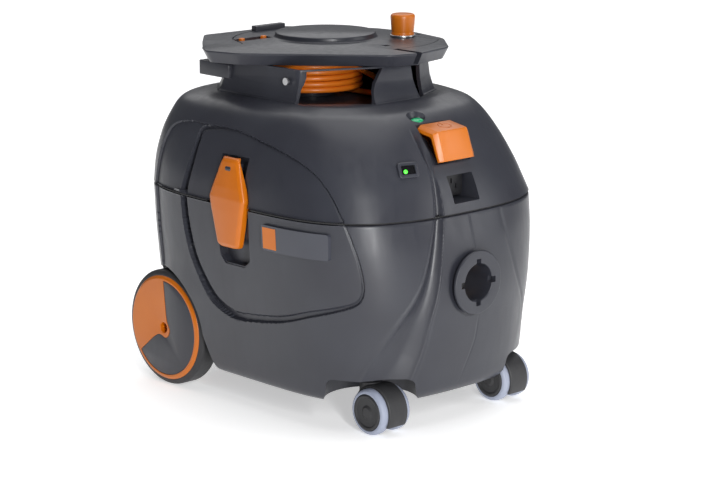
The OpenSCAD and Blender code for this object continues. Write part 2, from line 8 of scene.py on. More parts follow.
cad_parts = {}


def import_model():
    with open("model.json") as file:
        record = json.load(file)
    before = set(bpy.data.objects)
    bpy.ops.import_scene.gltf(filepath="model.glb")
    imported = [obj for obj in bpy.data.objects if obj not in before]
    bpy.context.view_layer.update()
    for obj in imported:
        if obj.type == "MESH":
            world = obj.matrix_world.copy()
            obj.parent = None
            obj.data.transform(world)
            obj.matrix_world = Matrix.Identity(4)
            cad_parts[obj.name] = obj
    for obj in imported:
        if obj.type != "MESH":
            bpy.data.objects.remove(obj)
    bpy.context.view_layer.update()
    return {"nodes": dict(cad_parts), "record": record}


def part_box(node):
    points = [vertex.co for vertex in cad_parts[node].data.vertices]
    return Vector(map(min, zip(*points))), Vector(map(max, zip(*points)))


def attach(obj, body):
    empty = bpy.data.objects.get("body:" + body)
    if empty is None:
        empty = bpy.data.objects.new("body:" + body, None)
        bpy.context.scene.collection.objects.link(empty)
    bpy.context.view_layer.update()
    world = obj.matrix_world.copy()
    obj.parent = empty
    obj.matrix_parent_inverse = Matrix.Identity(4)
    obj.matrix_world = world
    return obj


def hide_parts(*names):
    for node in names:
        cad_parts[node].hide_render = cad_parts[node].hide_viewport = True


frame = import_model()

# Shapes are written in millimetres about the middle of the tub, as in the CAD.
# Y0 moves them to the frame's origin, which is under the middle of the machine.
MM = 0.001
Y0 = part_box("inlet_ring")[0].y / MM + 228.5
GAP_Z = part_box("tub_shell")[1].z / MM
HEAD_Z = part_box("head_shell")[0].z / MM
PLATE_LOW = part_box("cable_neck")[1].z / MM
AXLE = ((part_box("rear_axle")[0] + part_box("rear_axle")[1]) / 2) / MM
AXLE_Y, AXLE_Z = AXLE.y - Y0, AXLE.z
HOSE_Z = 157
CASTER_X, STEM_Y = 92.5, -160
LATCH_Y = -12
WALL = 13
ARM_PIVOT = (124.5, -8)
KNOB = (99, -9)
BUTTON_HALF = 26


def world(points):
    p = np.array(points, float).reshape(-1, 3)
    return (p + np.array([0, Y0, 0])) * MM


# ---- camera

camera_data = bpy.data.cameras.new("camera")
camera_data.sensor_width = 36
camera_data.lens = 117.47
camera_data.clip_end = 50
camera = bpy.data.objects.new("camera", camera_data)
bpy.context.scene.collection.objects.link(camera)
camera.location = world([-1738.97, -1906.39, 757.70])[0]
camera.rotation_euler = (math.radians(90 - 12.942), 0, math.radians(-43.042))
bpy.context.scene.camera = camera


# ---- materials

def nodes_of(name):
    m = bpy.data.materials.new(name)
    m.use_nodes = True
    t = m.node_tree
    return m, t, t.nodes["Principled BSDF"], t.nodes.new, t.links.new


def noise(t, scale, detail=3.0, stretch=None):
    """A noise texture in the piece's own metres, so it moves with the piece."""
    co = t.nodes.new("ShaderNodeTexCoord")
    n = t.nodes.new("ShaderNodeTexNoise")
    n.inputs["Scale"].default_value = scale
    n.inputs["Detail"].default_value = detail
    if stretch:
        m = t.nodes.new("ShaderNodeMapping")
        m.inputs["Scale"].default_value = stretch
        t.links.new(co.outputs["Object"], m.inputs["Vector"])
        t.links.new(m.outputs["Vector"], n.inputs["Vector"])
    else:
        t.links.new(co.outputs["Object"], n.inputs["Vector"])
    return n.outputs["Fac"]


def ramp(t, value, low, high, a, b):
    r = t.nodes.new("ShaderNodeMapRange")
    r.inputs["From Min"].default_value = low
    r.inputs["From Max"].default_value = high
    r.inputs["To Min"].default_value = a
    r.inputs["To Max"].default_value = b
    t.links.new(value, r.inputs["Value"])
    return r.outputs["Result"]


def colours(t, value, a, b):
    m = t.nodes.new("ShaderNodeMix")
    m.data_type = "RGBA"
    m.inputs["A"].default_value = (*a, 1)
    m.inputs["B"].default_value = (*b, 1)
    t.links.new(value, m.inputs["Factor"])
    return m.outputs["Result"]


def moulded(name, a, b, rough=(0.36, 0.46), grain=2600, depth=0.00003, specular=0.5,
            coat=0.0, blotch=14):
    """Moulded plastic or rubber: fine spark-eroded grain, cloudy gloss and slight colour drift."""
    m, t, p, new, link = nodes_of(name)
    cloud = noise(t, blotch, 4)
    link(colours(t, ramp(t, cloud, 0.35, 0.65, 0, 1), a, b), p.inputs["Base Color"])
    fine = noise(t, grain, 2)
    scuff = noise(t, blotch * 9, 5, (1, 1, 0.25))
    add = new("ShaderNodeMath")
    add.operation = "MULTIPLY_ADD"
    link(fine, add.inputs[0])
    add.inputs[1].default_value = 0.06
    link(ramp(t, scuff, 0.3, 0.7, rough[0] - 0.03, rough[1] - 0.03), add.inputs[2])
    link(add.outputs[0], p.inputs["Roughness"])
    p.inputs["Specular IOR Level"].default_value = specular
    if coat:
        p.inputs["Coat Weight"].default_value = coat
        p.inputs["Coat Roughness"].default_value = 0.25
    bump = new("ShaderNodeBump")
    bump.inputs["Strength"].default_value = 1.0
    bump.inputs["Distance"].default_value = depth
    link(fine, bump.inputs["Height"])
    link(bump.outputs["Normal"], p.inputs["Normal"])
    return m


def metal(name, colour, rough=0.32, along=(1, 60, 60)):
    m, t, p, new, link = nodes_of(name)
    streak = noise(t, 90, 3, along)
    link(colours(t, streak, [c * 0.8 for c in colour], colour), p.inputs["Base Color"])
    link(ramp(t, streak, 0.2, 0.8, rough - 0.08, rough + 0.1), p.inputs["Roughness"])
    p.inputs["Metallic"].default_value = 1.0
    return m


def fabric(name, a, b, weave=900, depth=0.0003):
    m, t, p, new, link = nodes_of(name)
    fibre = noise(t, weave, 6, (1, 0.3, 1))
    link(colours(t, ramp(t, fibre, 0.3, 0.7, 0, 1), a, b), p.inputs["Base Color"])
    p.inputs["Roughness"].default_value = 0.9
    p.inputs["Sheen Weight"].default_value = 0.3
    bump = new("ShaderNodeBump")
    bump.inputs["Distance"].default_value = depth
    link(fibre, bump.inputs["Height"])
    link(bump.outputs["Normal"], p.inputs["Normal"])
    return m


# Glowing material: a real lamp for the status LED, and a painted glow for the green lens, which is
# no lamp.
def lamp_or_painted_glow(name, colour, strength, rough=0.2):
    m, t, p, new, link = nodes_of(name)
    link(colours(t, noise(t, 300, 2), colour, [c * 0.8 for c in colour]), p.inputs["Base Color"])
    p.inputs["Emission Color"].default_value = (*colour, 1)
    p.inputs["Emission Strength"].default_value = strength
    p.inputs["Roughness"].default_value = rough
    return m


GREY = moulded("charcoal_plastic", (0.027, 0.028, 0.037), (0.032, 0.034, 0.044), (0.30, 0.40))
DARK = moulded("black_plastic", (0.012, 0.012, 0.014), (0.018, 0.018, 0.020), (0.4, 0.55))
HOOD = moulded("coarse_black_plastic", (0.020, 0.020, 0.022), (0.030, 0.030, 0.032),
               (0.45, 0.6), 1500, 0.0001)
RUBBER = moulded("black_rubber", (0.014, 0.014, 0.015), (0.022, 0.022, 0.023), (0.6, 0.8))
TYRE = moulded("tyre_rubber", (0.020, 0.020, 0.022), (0.030, 0.030, 0.033), (0.5, 0.65))
TREAD = moulded("pale_tread", (0.28, 0.31, 0.40), (0.34, 0.37, 0.46), (0.4, 0.55))
ORANGE = moulded("orange_plastic", (0.52, 0.125, 0.001), (0.57, 0.145, 0.002), (0.3, 0.38),
                 2600, 0.00001)
CORD = moulded("orange_sheath", (0.70, 0.150, 0.008), (0.80, 0.200, 0.012), (0.28, 0.42),
               900, 0.00003)
STEEL = metal("zinc_steel", (0.62, 0.62, 0.63))
ALLOY = metal("fan_alloy", (0.72, 0.72, 0.74), 0.25, (60, 1, 1))
FLEECE = fabric("bag_fleece", (0.62, 0.60, 0.55), (0.82, 0.80, 0.75))
CARD = fabric("bag_card", (0.55, 0.36, 0.20), (0.68, 0.48, 0.30), 500, 0.0001)
BADGE = moulded("badge_film", (0.045, 0.048, 0.062), (0.052, 0.055, 0.070), (0.16, 0.22))
BOARD = moulded("board_lacquer", (0.01, 0.07, 0.02), (0.015, 0.10, 0.03), (0.2, 0.3), 700)
# The green lens's faint emission is a painted glow, standing in for light shining through the lens;
# it is no lamp.
GREEN_PAINTED_GLOW = lamp_or_painted_glow("green_lens_painted_glow", (0.02, 0.34, 0.14), 0.12, 0.12)
GREEN_LIT = lamp_or_painted_glow("lit_green", (0.08, 0.9, 0.05), 1.5)

SLOT_MATERIALS = {
    "body_plastic": GREY, "dark_plastic": DARK, "rubber": RUBBER, "wheel_tyre": TYRE,
    "caster_tread": TREAD, "orange_plastic": ORANGE, "orange_cord": CORD, "steel": STEEL,
    "fan_aluminium": ALLOY, "bag_fleece": FLEECE, "card": CARD, "badge": BADGE,
    "board": BOARD, "lens_green": GREEN_PAINTED_GLOW}
SLOT = {s["node"]: s["material_slot"] for s in frame["record"]["subparts"]}
BODY = {n: b for b, members in frame["record"]["behaviour"]["bodies"].items() for n in members}


# ---- mesh tools

def plain_object(name, points, faces):
    me = bpy.data.meshes.new(name)
    me.from_pydata([tuple(p) for p in world(points)], [], [tuple(f) for f in faces])
    me.validate()
    me.update()
    o = bpy.data.objects.new(name, me)
    bpy.context.scene.collection.objects.link(o)
    return o


def fix_normals(o):
    bm = bmesh.new()
    bm.from_mesh(o.data)
    bmesh.ops.recalc_face_normals(bm, faces=bm.faces)
    bm.to_mesh(o.data)
    bm.free()
    return o


def boolean(o, cutters, operation="DIFFERENCE"):
    for c in cutters:
        m = o.modifiers.new("cut", "BOOLEAN")
        m.object = c
        m.operation = operation
        m.solver = "MANIFOLD"
    deps = bpy.context.evaluated_depsgraph_get()
    me = bpy.data.meshes.new_from_object(o.evaluated_get(deps))
    o.modifiers.clear()
    o.data = me
    for c in cutters:
        bpy.data.objects.remove(c)
    return o


def bevel(o, width, segments=3, angle=30):
    m = o.modifiers.new("edge", "BEVEL")
    m.width = width * MM
    m.segments = segments
    m.limit_method = "ANGLE"
    m.angle_limit = math.radians(angle)
    m.harden_normals = False
    deps = bpy.context.evaluated_depsgraph_get()
    me = bpy.data.meshes.new_from_object(o.evaluated_get(deps))
    o.modifiers.clear()
    o.data = me
    return o


def dress(o, material, angle):
    """Shades a mesh smooth up to an angle and gives it its material."""
    o.data.shade_smooth()
    o.data.set_sharp_from_angle(angle=math.radians(angle))
    o.data.materials.clear()
    o.data.materials.append(material)


def finish_piece(o, node, material, angle=32):
    """Dresses a piece and puts it in place of its CAD node."""
    dress(o, material, angle)
    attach(o, BODY[node])
    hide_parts(node)
    return o


def stack(rings, closed=True):
    """Solid through closed rings with the same number of points, each (n, 3)."""
    n = len(rings[0])
    pts = [p for r in rings for p in r]
    faces = []
    for j in range(len(rings) - 1):
        for i in range(n):
            k = (i + 1) % n
            faces.append((j * n + i, j * n + k, (j + 1) * n + k, (j + 1) * n + i))
    if closed:
        for row, flip in ((0, True), (len(rings) - 1, False)):
            c = len(pts)
            pts.append(np.mean(rings[row], axis=0))
            for i in range(n):
                a, b = row * n + i, row * n + (i + 1) % n
                faces.append((c, b, a) if flip else (c, a, b))
    return pts, faces


def lathe(name, profile, centre, axis="z", steps=96, start=0.0):
    """Turns a profile of (radius, height) about an axis; radius 0 closes it."""
    dirs = {"z": ((1, 0, 0), (0, 1, 0), (0, 0, 1)), "x": ((0, 1, 0), (0, 0, 1), (1, 0, 0)),
            "-x": ((0, 1, 0), (0, 0, 1), (-1, 0, 0)), "-y": ((1, 0, 0), (0, 0, 1), (0, -1, 0))}
    e1, e2, e3 = (np.array(v, float) for v in dirs[axis])
    c = np.array(centre, float)
    pts, rows = [], []
    for r, h in profile:
        if r <= 0:
            rows.append([len(pts)] * steps)
            pts.append(c + e3 * h)
        else:
            rows.append(list(range(len(pts), len(pts) + steps)))
            for i in range(steps):
                a = start + 2 * math.pi * i / steps
                pts.append(c + e1 * r * math.cos(a) + e2 * r * math.sin(a) + e3 * h)
    faces = []
    loop = rows if profile[0][0] <= 0 else rows + [rows[0]]
    for a, b in zip(loop, loop[1:]):
        for i in range(steps):
            k = (i + 1) % steps
            f = [a[i], a[k], b[k], b[i]]
            f = [v for n, v in enumerate(f) if v not in f[:n]]
            if len(f) > 2:
                faces.append(f)
    return fix_normals(plain_object(name, pts, faces))


def soft_profile(points, r=1.0, segments=3, closed=True):
    """Rounds the corners of a profile of (radius, height), but for those on the axis."""
    out = []
    n = len(points)
    for i, p in enumerate(points):
        a, b = points[i - 1], points[(i + 1) % n]
        if p[0] <= 0 or (not closed and i in (0, n - 1)):
            out.append(p)
            continue
        p, a, b = (np.array(v, float) for v in (p, a, b))
        la, lb = np.linalg.norm(a - p), np.linalg.norm(b - p)
        d = min(r, la * 0.45, lb * 0.45)
        s, e = p + (a - p) / la * d, p + (b - p) / lb * d
        for k in range(segments + 1):
            t = k / segments
            out.append(tuple((1 - t) ** 2 * s + 2 * t * (1 - t) * p + t * t * e))
    return out


def prism(name, outline, low, high, axis="z"):
    """Straight solid on an outline of 2-D points, between low and high along an axis."""
    put = {"z": lambda p, h: (p[0], p[1], h), "x": lambda p, h: (h, p[0], p[1]),
           "y": lambda p, h: (p[0], h, p[1])}[axis]
    n = len(outline)
    pts = [put(p, low) for p in outline] + [put(p, high) for p in outline]
    faces = [tuple(range(n))[::-1], tuple(range(n, 2 * n))]
    faces += [(i, (i + 1) % n, n + (i + 1) % n, n + i) for i in range(n)]
    return fix_normals(plain_object(name, pts, faces))


def rounded(corners, steps=6):
    """Outline with each corner (x, y, radius) rounded by an arc."""
    out = []
    n = len(corners)
    for i, (x, y, r) in enumerate(corners):
        p = np.array([x, y], float)
        a = np.array(corners[i - 1][:2], float) - p
        b = np.array(corners[(i + 1) % n][:2], float) - p
        a, b = a / np.linalg.norm(a), b / np.linalg.norm(b)
        half = math.acos(float(np.clip(a @ b, -1, 1))) / 2
        if r <= 0 or half > 1.55:
            out.append(tuple(p))
            continue
        c = p + (a + b) / np.linalg.norm(a + b) * r / math.sin(half)
        s, e = p + a * r / math.tan(half) - c, p + b * r / math.tan(half) - c
        turn = math.atan2(s[0] * e[1] - s[1] * e[0], float(s @ e))
        for k in range(steps + 1):
            t = turn * k / steps
            out.append((c[0] + s[0] * math.cos(t) - s[1] * math.sin(t),
                        c[1] + s[0] * math.sin(t) + s[1] * math.cos(t)))
    return out


def rect(x0, y0, x1, y1):
    """Corners of a rectangle."""
    return [(x0, y0), (x1, y0), (x1, y1), (x0, y1)]


def pad(x0, y0, x1, y1, r):
    """Corners of a rectangle, each with the same corner radius for rounded()."""
    return [(x, y, r) for x, y in rect(x0, y0, x1, y1)]


def even(outline, step):
    """Points about step apart along a closed outline."""
    q = np.array(outline + [outline[0]], float)
    d = np.r_[0, np.cumsum(np.linalg.norm(np.diff(q, axis=0), axis=1))]
    n = max(8, int(round(d[-1] / step)))
    t = np.linspace(0, d[-1], n, endpoint=False)
    return np.stack([np.interp(t, d, q[:, 0]), np.interp(t, d, q[:, 1])], 1)


def inset(outline, d):
    """Moves an outline's points inwards by d along their normals."""
    q = np.array(outline, float)
    t = np.roll(q, -1, 0) - np.roll(q, 1, 0)
    n = np.stack([-t[:, 1], t[:, 0]], 1)
    n /= np.linalg.norm(n, axis=1)[:, None] + 1e-12
    area = np.sum(q[:, 0] * np.roll(q[:, 1], -1) - np.roll(q[:, 0], -1) * q[:, 1])
    return q + n * d * (1 if area > 0 else -1)


def rotation(degrees, axis):
    return Matrix.Rotation(math.radians(degrees), 4, axis)


def place(o, at, turn):
    """Turns a piece made about the origin, then moves it."""
    o.data.transform(Matrix.Translation((0, -Y0 * MM, 0)))
    o.data.transform(Matrix.Translation(Vector(world(at)[0])) @ turn)
    return o


def across(name, outline, side, near_x, far_x):
    """Prism along X between two distances from the middle, on one side of the body."""
    low, high = sorted((side * near_x, side * far_x))
    return prism(name, outline, low, high, "x")


def smooth(t):
    t = np.clip(t, 0, 1)
    return t * t * (3 - 2 * t)


def curve_points(points, step=1.0, closed=False):
    """Catmull-Rom curve through points of any dimension, resampled about step apart."""
    p = np.array(points, float)
    if closed:
        ext = np.vstack([p[-1:], p, p[:2]])
    else:
        ext = np.vstack([2 * p[0] - p[1], p, 2 * p[-1] - p[-2]])
    out = []
    for i in range(1, len(ext) - 2):
        a, b, c, d = ext[i - 1:i + 3]
        t = np.linspace(0, 1, 24, endpoint=False)[:, None]
        out.append(0.5 * (2 * b + (c - a) * t + (2 * a - 5 * b + 4 * c - d) * t ** 2
                          + (3 * b - a - 3 * c + d) * t ** 3))
    out = np.vstack(out + [ext[-2:-1]])
    s = np.r_[0, np.cumsum(np.linalg.norm(np.diff(out[:, :3], axis=0), axis=1))]
    u = np.linspace(0, s[-1], max(4, int(s[-1] / step)), endpoint=not closed)
    return np.stack([np.interp(u, s, out[:, k]) for k in range(out.shape[1])], 1)


# ---- body surfaces
# Sections of the body: height, half width, front reach, rear reach and the powers of
# the front half and of the rear half

TUB = [
    (32, 136, 194, 170, 2.9, 4.5, 3.0, 3.6), (36, 142, 203, 176, 2.8, 4.4, 3.0, 3.6),
    (44, 146, 209, 180, 2.75, 4.3, 3.0, 3.6), (60, 149, 212, 183, 2.7, 4.3, 3.0, 3.6),
    (100, 153, 218, 186, 2.5, 4.2, 3.0, 3.6), (150, 159, 223, 188, 2.4, 4.2, 3.0, 3.6),
    (195, 163, 219, 189, 2.5, 4.3, 3.0, 3.6), (GAP_Z, 165, 212, 189, 2.65, 4.3, 3.0, 3.6)]
HEAD = [
    (HEAD_Z, 165, 212, 189, 2.65, 4.3, 3.0, 3.6), (255, 161.5, 203, 189, 2.45, 4.0, 3.0, 3.6),
    (285, 153, 186, 183, 2.4, 3.8, 3.1, 3.7), (310, 142, 169, 172, 2.4, 3.6, 3.2, 3.8),
    (325, 132, 153, 161, 2.45, 3.6, 3.3, 3.9), (331, 125, 143, 150, 2.6, 3.6, 3.2, 3.8),
    (335, 116, 130, 134, 2.8, 3.6, 3.0, 3.6), (338, 107, 119, 119, 3.0, 3.6, 3.0, 3.6)]


def section(s, columns, draw=0.0, fine=2400):
    """One closed section as points, closer together at the front and sides."""
    _, a, f, r, p, q, pr, qr = s
    t = np.linspace(-math.pi / 2, 1.5 * math.pi, fine + 1)
    c, d = np.cos(t), np.sin(t)
    front = d < 0
    x = np.where(front, np.sign(c) * np.abs(c) ** (2 / p), np.sign(c) * np.abs(c) ** (2 / pr))
    y = np.where(front, -np.abs(d) ** (2 / q) * (f - draw), np.abs(d) ** (2 / qr) * (r - draw))
    x = x * (a - draw)
    mx, my = (x[1:] + x[:-1]) / 2, (y[1:] + y[:-1]) / 2
    weight = np.where(my > 145, 0.3, np.where(mx < 25, 1.6, 0.6))
    u = np.r_[0, np.cumsum(np.hypot(np.diff(x), np.diff(y)) * weight)]
    v = np.linspace(0, u[-1], columns, endpoint=False)
    return np.interp(v, u, x), np.interp(v, u, y)


def level(s, columns, draw=0.0, lift=0.0):
    """One section as a ring of 3-D points, drawn in and lifted."""
    x, y = section(s, columns, draw)
    return np.stack([x, y, np.full(columns, s[0] + lift)], 1)


def between(table, step):
    """The table's rows, filled in by a smooth curve to about step apart."""
    rows = np.array(table, float)
    size = np.stack([(rows[:, 1] + rows[:, 2] + rows[:, 3]) / 3, rows[:, 0]], 1)
    s = np.r_[0, np.cumsum(np.linalg.norm(np.diff(size, axis=0), axis=1))]
    slope = np.zeros_like(rows)
    d = np.diff(rows, axis=0) / np.diff(s)[:, None]
    for i in range(1, len(rows) - 1):
        keep = d[i - 1] * d[i] > 0
        h = 2 * d[i - 1] * d[i] / np.where(keep, d[i - 1] + d[i], 1)
        slope[i] = np.where(keep, h, 0)
    slope[0], slope[-1] = d[0], d[-1]
    out = []
    for v in np.linspace(0, s[-1], int(s[-1] / step)):
        i = min(int(np.searchsorted(s, v, "right")) - 1, len(rows) - 2)
        w = s[i + 1] - s[i]
        t = (v - s[i]) / w
        out.append((2 * t ** 3 - 3 * t * t + 1) * rows[i] + (t ** 3 - 2 * t * t + t) * w * slope[i]
                   + (3 * t * t - 2 * t ** 3) * rows[i + 1] + (t ** 3 - t * t) * w * slope[i + 1])
    return out


# Lines on the left side: x, y, z and then the line's width and depth
PANEL = curve_points([
    (-144, 52, 306, 4, 3.5), (-143, 3, 309, 1.2, 0.9), (-146, -49, 302, 1.2, 0.9),
    (-146, -95, 292, 1.2, 0.9), (-143, -126, 279, 1.2, 0.9), (-140, -146, 262, 1.2, 0.9),
    (-139, -163, 241, 1.4, 0.9), (-137, -170, 228, 1.4, 0.9), (-133, -176, 211, 1.6, 0.9),
    (-128, -182, 188, 1.8, 0.9), (-125, -185, 165, 2, 1), (-126, -182, 151, 2, 1),
    (-131, -175, 143, 2.5, 1.2), (-140, -158, 136, 3.5, 1.6), (-149, -127, 126, 5, 2.2),
    (-151, -84, 113, 6, 2.6), (-153, -38, 105, 6.5, 2.8), (-153, -6, 103, 7, 3.2),
    (-154, 24, 113, 8, 5), (-157, 44, 133, 9, 6.5), (-159, 61, 161, 10, 7.5),
    (-162, 70, 196, 10, 7.8), (-163, 72, 230, 9, 7.6), (-159, 64, 265, 7, 7),
    (-151, 59, 291, 5, 5.5)], 1.0, True)
BAND = curve_points([
    (-144, 40, 310, 3, 0), (-141, 80, 308, 3, 0), (-140, 108, 301, 3, 0),
    (-142, 122, 286, 3, 0), (-146, 130, 250, 3, 0), (-148, 132, 215, 3, 0),
    (-149, 133, 170, 3, 0), (-150, 134, 120, 3, 0)], 1.0)
GROOVE_OUT = curve_points([
    (-36, -160, 318), (-38, -172, 305), (-38, -183, 291), (-38, -197, 268), (-45, -210, 233),
    (-55, -215, 201), (-66, -216, 166), (-79, -212, 138), (-95, -201, 111), (-116, -181, 67),
    (-122, -172, 50)], 1.0)
GROOVE_IN = curve_points([
    (-24, -160, 318), (-25, -172, 303), (-31, -190, 282), (-34, -203, 258), (-38, -211, 232),
    (-46, -217, 192), (-52, -219, 159), (-59, -216, 126), (-65, -211, 96), (-74, -205, 69),
    (-80, -200, 50)], 1.0)
half = np.linspace(0, 1, 400)


def along(line, t):
    u = np.linspace(0, 1, len(line))
    return np.stack([np.interp(t, u, line[:, k]) for k in range(line.shape[1])], 1)


GROOVE = (along(GROOVE_OUT, half) + along(GROOVE_IN, half)) / 2
GROOVE = np.c_[GROOVE, np.linalg.norm(along(GROOVE_OUT, half) - along(GROOVE_IN, half), axis=1) / 2,
               np.interp(half, [0, 0.05, 0.12, 0.3, 0.6, 0.85, 1], [0, 2.5, 4.5, 5.5, 7, 9, 8])]
CREASE = curve_points([(1, -212, 231, 1.1, 0.5), (3, -219, 192, 1.1, 0.5)], 1.0)
CREASE_LOW = curve_points([(9, -219, 118, 1.1, 0.5), (8, -218, 100, 1.1, 0.5),
                           (5, -216, 84, 1.1, 0.5), (-10, -208, 46, 1.1, 0.5)], 1.0)
CREASE_RIGHT = curve_points([(50, -212, 231, 2.2, 0.9), (52, -213, 214, 2.2, 0.9),
                             (61, -216, 183, 2.2, 0.9), (75, -214, 149, 2.2, 0.9),
                             (100, -199, 110, 2.2, 0.9), (118, -180, 70, 2.2, 0.9)], 1.0)


def near(line, points, normals):
    """For each point its signed distance to a line on the surface, and the nearest index."""
    tree = kdtree.KDTree(len(line))
    for i, p in enumerate(line[:, :3]):
        tree.insert(Vector(p), i)
    tree.balance()
    idx = np.array([tree.find(Vector(p))[1] for p in points])
    tangent = np.gradient(line[:, :3], axis=0)
    tangent /= np.linalg.norm(tangent, axis=1)[:, None]
    delta = points - line[idx, :3]
    side = np.einsum("ij,ij->i", np.cross(normals, tangent[idx]), delta)
    return np.sign(side) * np.linalg.norm(delta, axis=1), idx


def depth_of(points, normals):
    """How far the surface is pressed in, in mm, at each point."""
    p, n = points.copy(), normals.copy()
    right = p[:, 0] > 0
    p[right, 0] *= -1
    n[right, 0] *= -1
    out = np.zeros(len(p))
    sel = np.abs(p[:, 0]) > 100
    d, i = near(PANEL, p[sel], n[sel])
    if PANEL_SIGN < 0:
        d = -d
    width, deep = PANEL[i, 3], PANEL[i, 4]
    step = 2.6 * smooth((d + 0.7) / 1.4)
    dip = deep * (smooth((d + 0.7) / 1.4) - smooth((d - width) / (1.2 + deep * 0.25)))
    rear, _ = near(BAND, p[sel], n[sel])
    rear = rear * BAND_SIGN
    y, z = p[sel, 1], p[sel, 2]
    band = 2.6 * smooth((rear + 0.7) / 1.4) * (y > 30) * smooth((z - 112) / 40) * (d < 1)
    fade = smooth((y + 8) / 40)
    out[sel] = np.maximum(step + dip, band * fade)
    front = p[:, 1] < -120
    d, i = near(GROOVE, p[front], n[front])
    wide, deep = GROOVE[i, 3], GROOVE[i, 4]
    ratio = np.abs(d) / wide
    valley = deep * np.clip(1 - ratio ** 1.5, 0, 1) - 0.7 * np.exp(-((ratio - 1.08) / 0.16) ** 2)
    valley *= np.where(right[front], 0.0, 1.0) * smooth(deep / 2)
    out[front] += valley
    q = points[front]
    for line in (CREASE, CREASE_LOW, CREASE_RIGHT):
        d, i = near(line, q, normals[front])
        out[front] += line[i, 4] * np.exp(-(d / line[i, 3]) ** 2)
    return out


def sign_inside(line, inside):
    n = np.array([[-1.0, 0, 0]])
    d, _ = near(line, np.array([inside], float), n)
    return 1 if d[0] > 0 else -1


PANEL_SIGN = sign_inside(PANEL, (-160, -40, 200))
BAND_SIGN = sign_inside(BAND, (-150, 100, 240))


def shell(name, table, columns, step, foot, rim, trim=0.0):
    """Closed, sculpted solid of a section table; foot and rim are (drop, draw-in) edge rows."""
    rows = between(table, step)
    last = rows[-1]
    rows = [r for r in rows if r[0] < last[0] - trim]
    g = np.array([level(rows[0], columns, draw, dz) for dz, draw in foot]
                 + [level(r, columns) for r in rows]
                 + [level(last, columns, draw, dz) for dz, draw in rim])
    du = np.roll(g, -1, 1) - np.roll(g, 1, 1)
    dv = np.gradient(g, axis=0)
    n = np.cross(du, dv)
    n /= np.linalg.norm(n, axis=2)[:, :, None] + 1e-12
    flat = g.reshape(-1, 3)
    depth = depth_of(flat, n.reshape(-1, 3)).reshape(g.shape[:2])
    out = n * depth[:, :, None]
    out[:, :, 2] *= 0.3
    g = g - out
    return fix_normals(plain_object(name, *stack(list(g))))


def coarse(name, table, draw, first, last, columns=120):
    rings = []
    for i, r in enumerate(table):
        lift = first if i == 0 else last if i == len(table) - 1 else 0
        rings.append(level(r, columns, draw, lift))
    return fix_normals(plain_object(name, *stack(rings)))


COLUMNS = 900
STEP = 1.3


# ---- tub

def well_cutters(grow, tag):
    out = []
    for side in (-1, 1):
        x0 = 117 - grow
        r = 71 + grow
        profile = soft_profile(rect(0, 0, r, 60), 4, 4)
        out.append(lathe(f"well{tag}{side}", profile, (side * x0, AXLE_Y, AXLE_Z),
                         "x" if side > 0 else "-x", 96))
        mouth = [(AXLE_Y - 55 - grow, 108), (AXLE_Y - 80 - grow, 51), (AXLE_Y - 92 - grow, 20),
                 (AXLE_Y + 110, 20), (AXLE_Y + 110, 76)]
        out.append(across(f"mouth{tag}{side}", mouth, side, x0, x0 + 80))
    return out


def caster_cutters(grow, tag):
    out = []
    for side in (-1, 1):
        r, h = 50 + grow, 60 + grow
        profile = soft_profile([(0, 0), (r + 3, 0), (r, 30), (r, h), (0, h)], 7, 5)
        out.append(lathe(f"pocket{tag}{side}", profile, (side * CASTER_X, STEM_Y, 0), "z", 80))
    return out


def latch_slot(side, tag):
    outline = rounded([(-29, 288, 6), (5, 288, 6), (20, 240, 10), (8, 186, 8), (7, 173, 6),
                       (0, 164, 6), (-33, 164, 8), (-42, 172, 6), (-44, 240, 10)], 4)
    return across(f"slot{tag}", outline, side, 156.5, 200)


tub_cavity = coarse("tub_cavity", TUB[1:], WALL, 2, 3)
boolean(tub_cavity, [prism(f"pocket_block{side}", [(side * 141, -64), (side * 141, 40),
                                                   (side * 200, 40), (side * 200, -64)], 150, 300)
                     for side in (-1, 1)])
boolean(tub_cavity, well_cutters(4, "a") + caster_cutters(4, "a") + [
    lathe("boss", rect(0, 0, 30, 30), (0, -200, HOSE_Z), "-y", 64)])
tub = shell("tub", TUB, COLUMNS, STEP, [(0.0, 14), (0.0, 7), (0.3, 3), (0.9, 1)],
            [(-1.7, 0.05), (-1.1, 0.25), (-0.6, 0.6), (-0.25, 1.1), (-0.05, 1.8), (0, 2.6),
             (0, 4.4)], 2.0)
cutters = [tub_cavity] + well_cutters(0, "b") + caster_cutters(0, "b")
cutters += [latch_slot(-1, "l"), latch_slot(1, "r")]
cutters.append(lathe("bore", [(0, 0), (24.4, 0), (24.4, 40), (37, 40), (37, 80), (0, 80)],
                     (0, -180, HOSE_Z), "-y", 96))
for side in (-1, 1):
    cutters.append(lathe(f"stem_socket{side}", rect(0, 0, 5.6, 34),
                         (side * CASTER_X, STEM_Y, 60), "z", 32))
    pocket = rounded([(-41, 196, 3), (8.5, 196, 3), (6, 173, 6), (-1, 165.6, 6), (-32, 165.6, 8),
                      (-40.5, 173, 6)], 4)
    cutters.append(across(f"finger{side}", pocket, side, 148, 170))
boolean(tub, cutters)
finish_piece(tub, "tub_shell", GREY, 38)

# ---- head

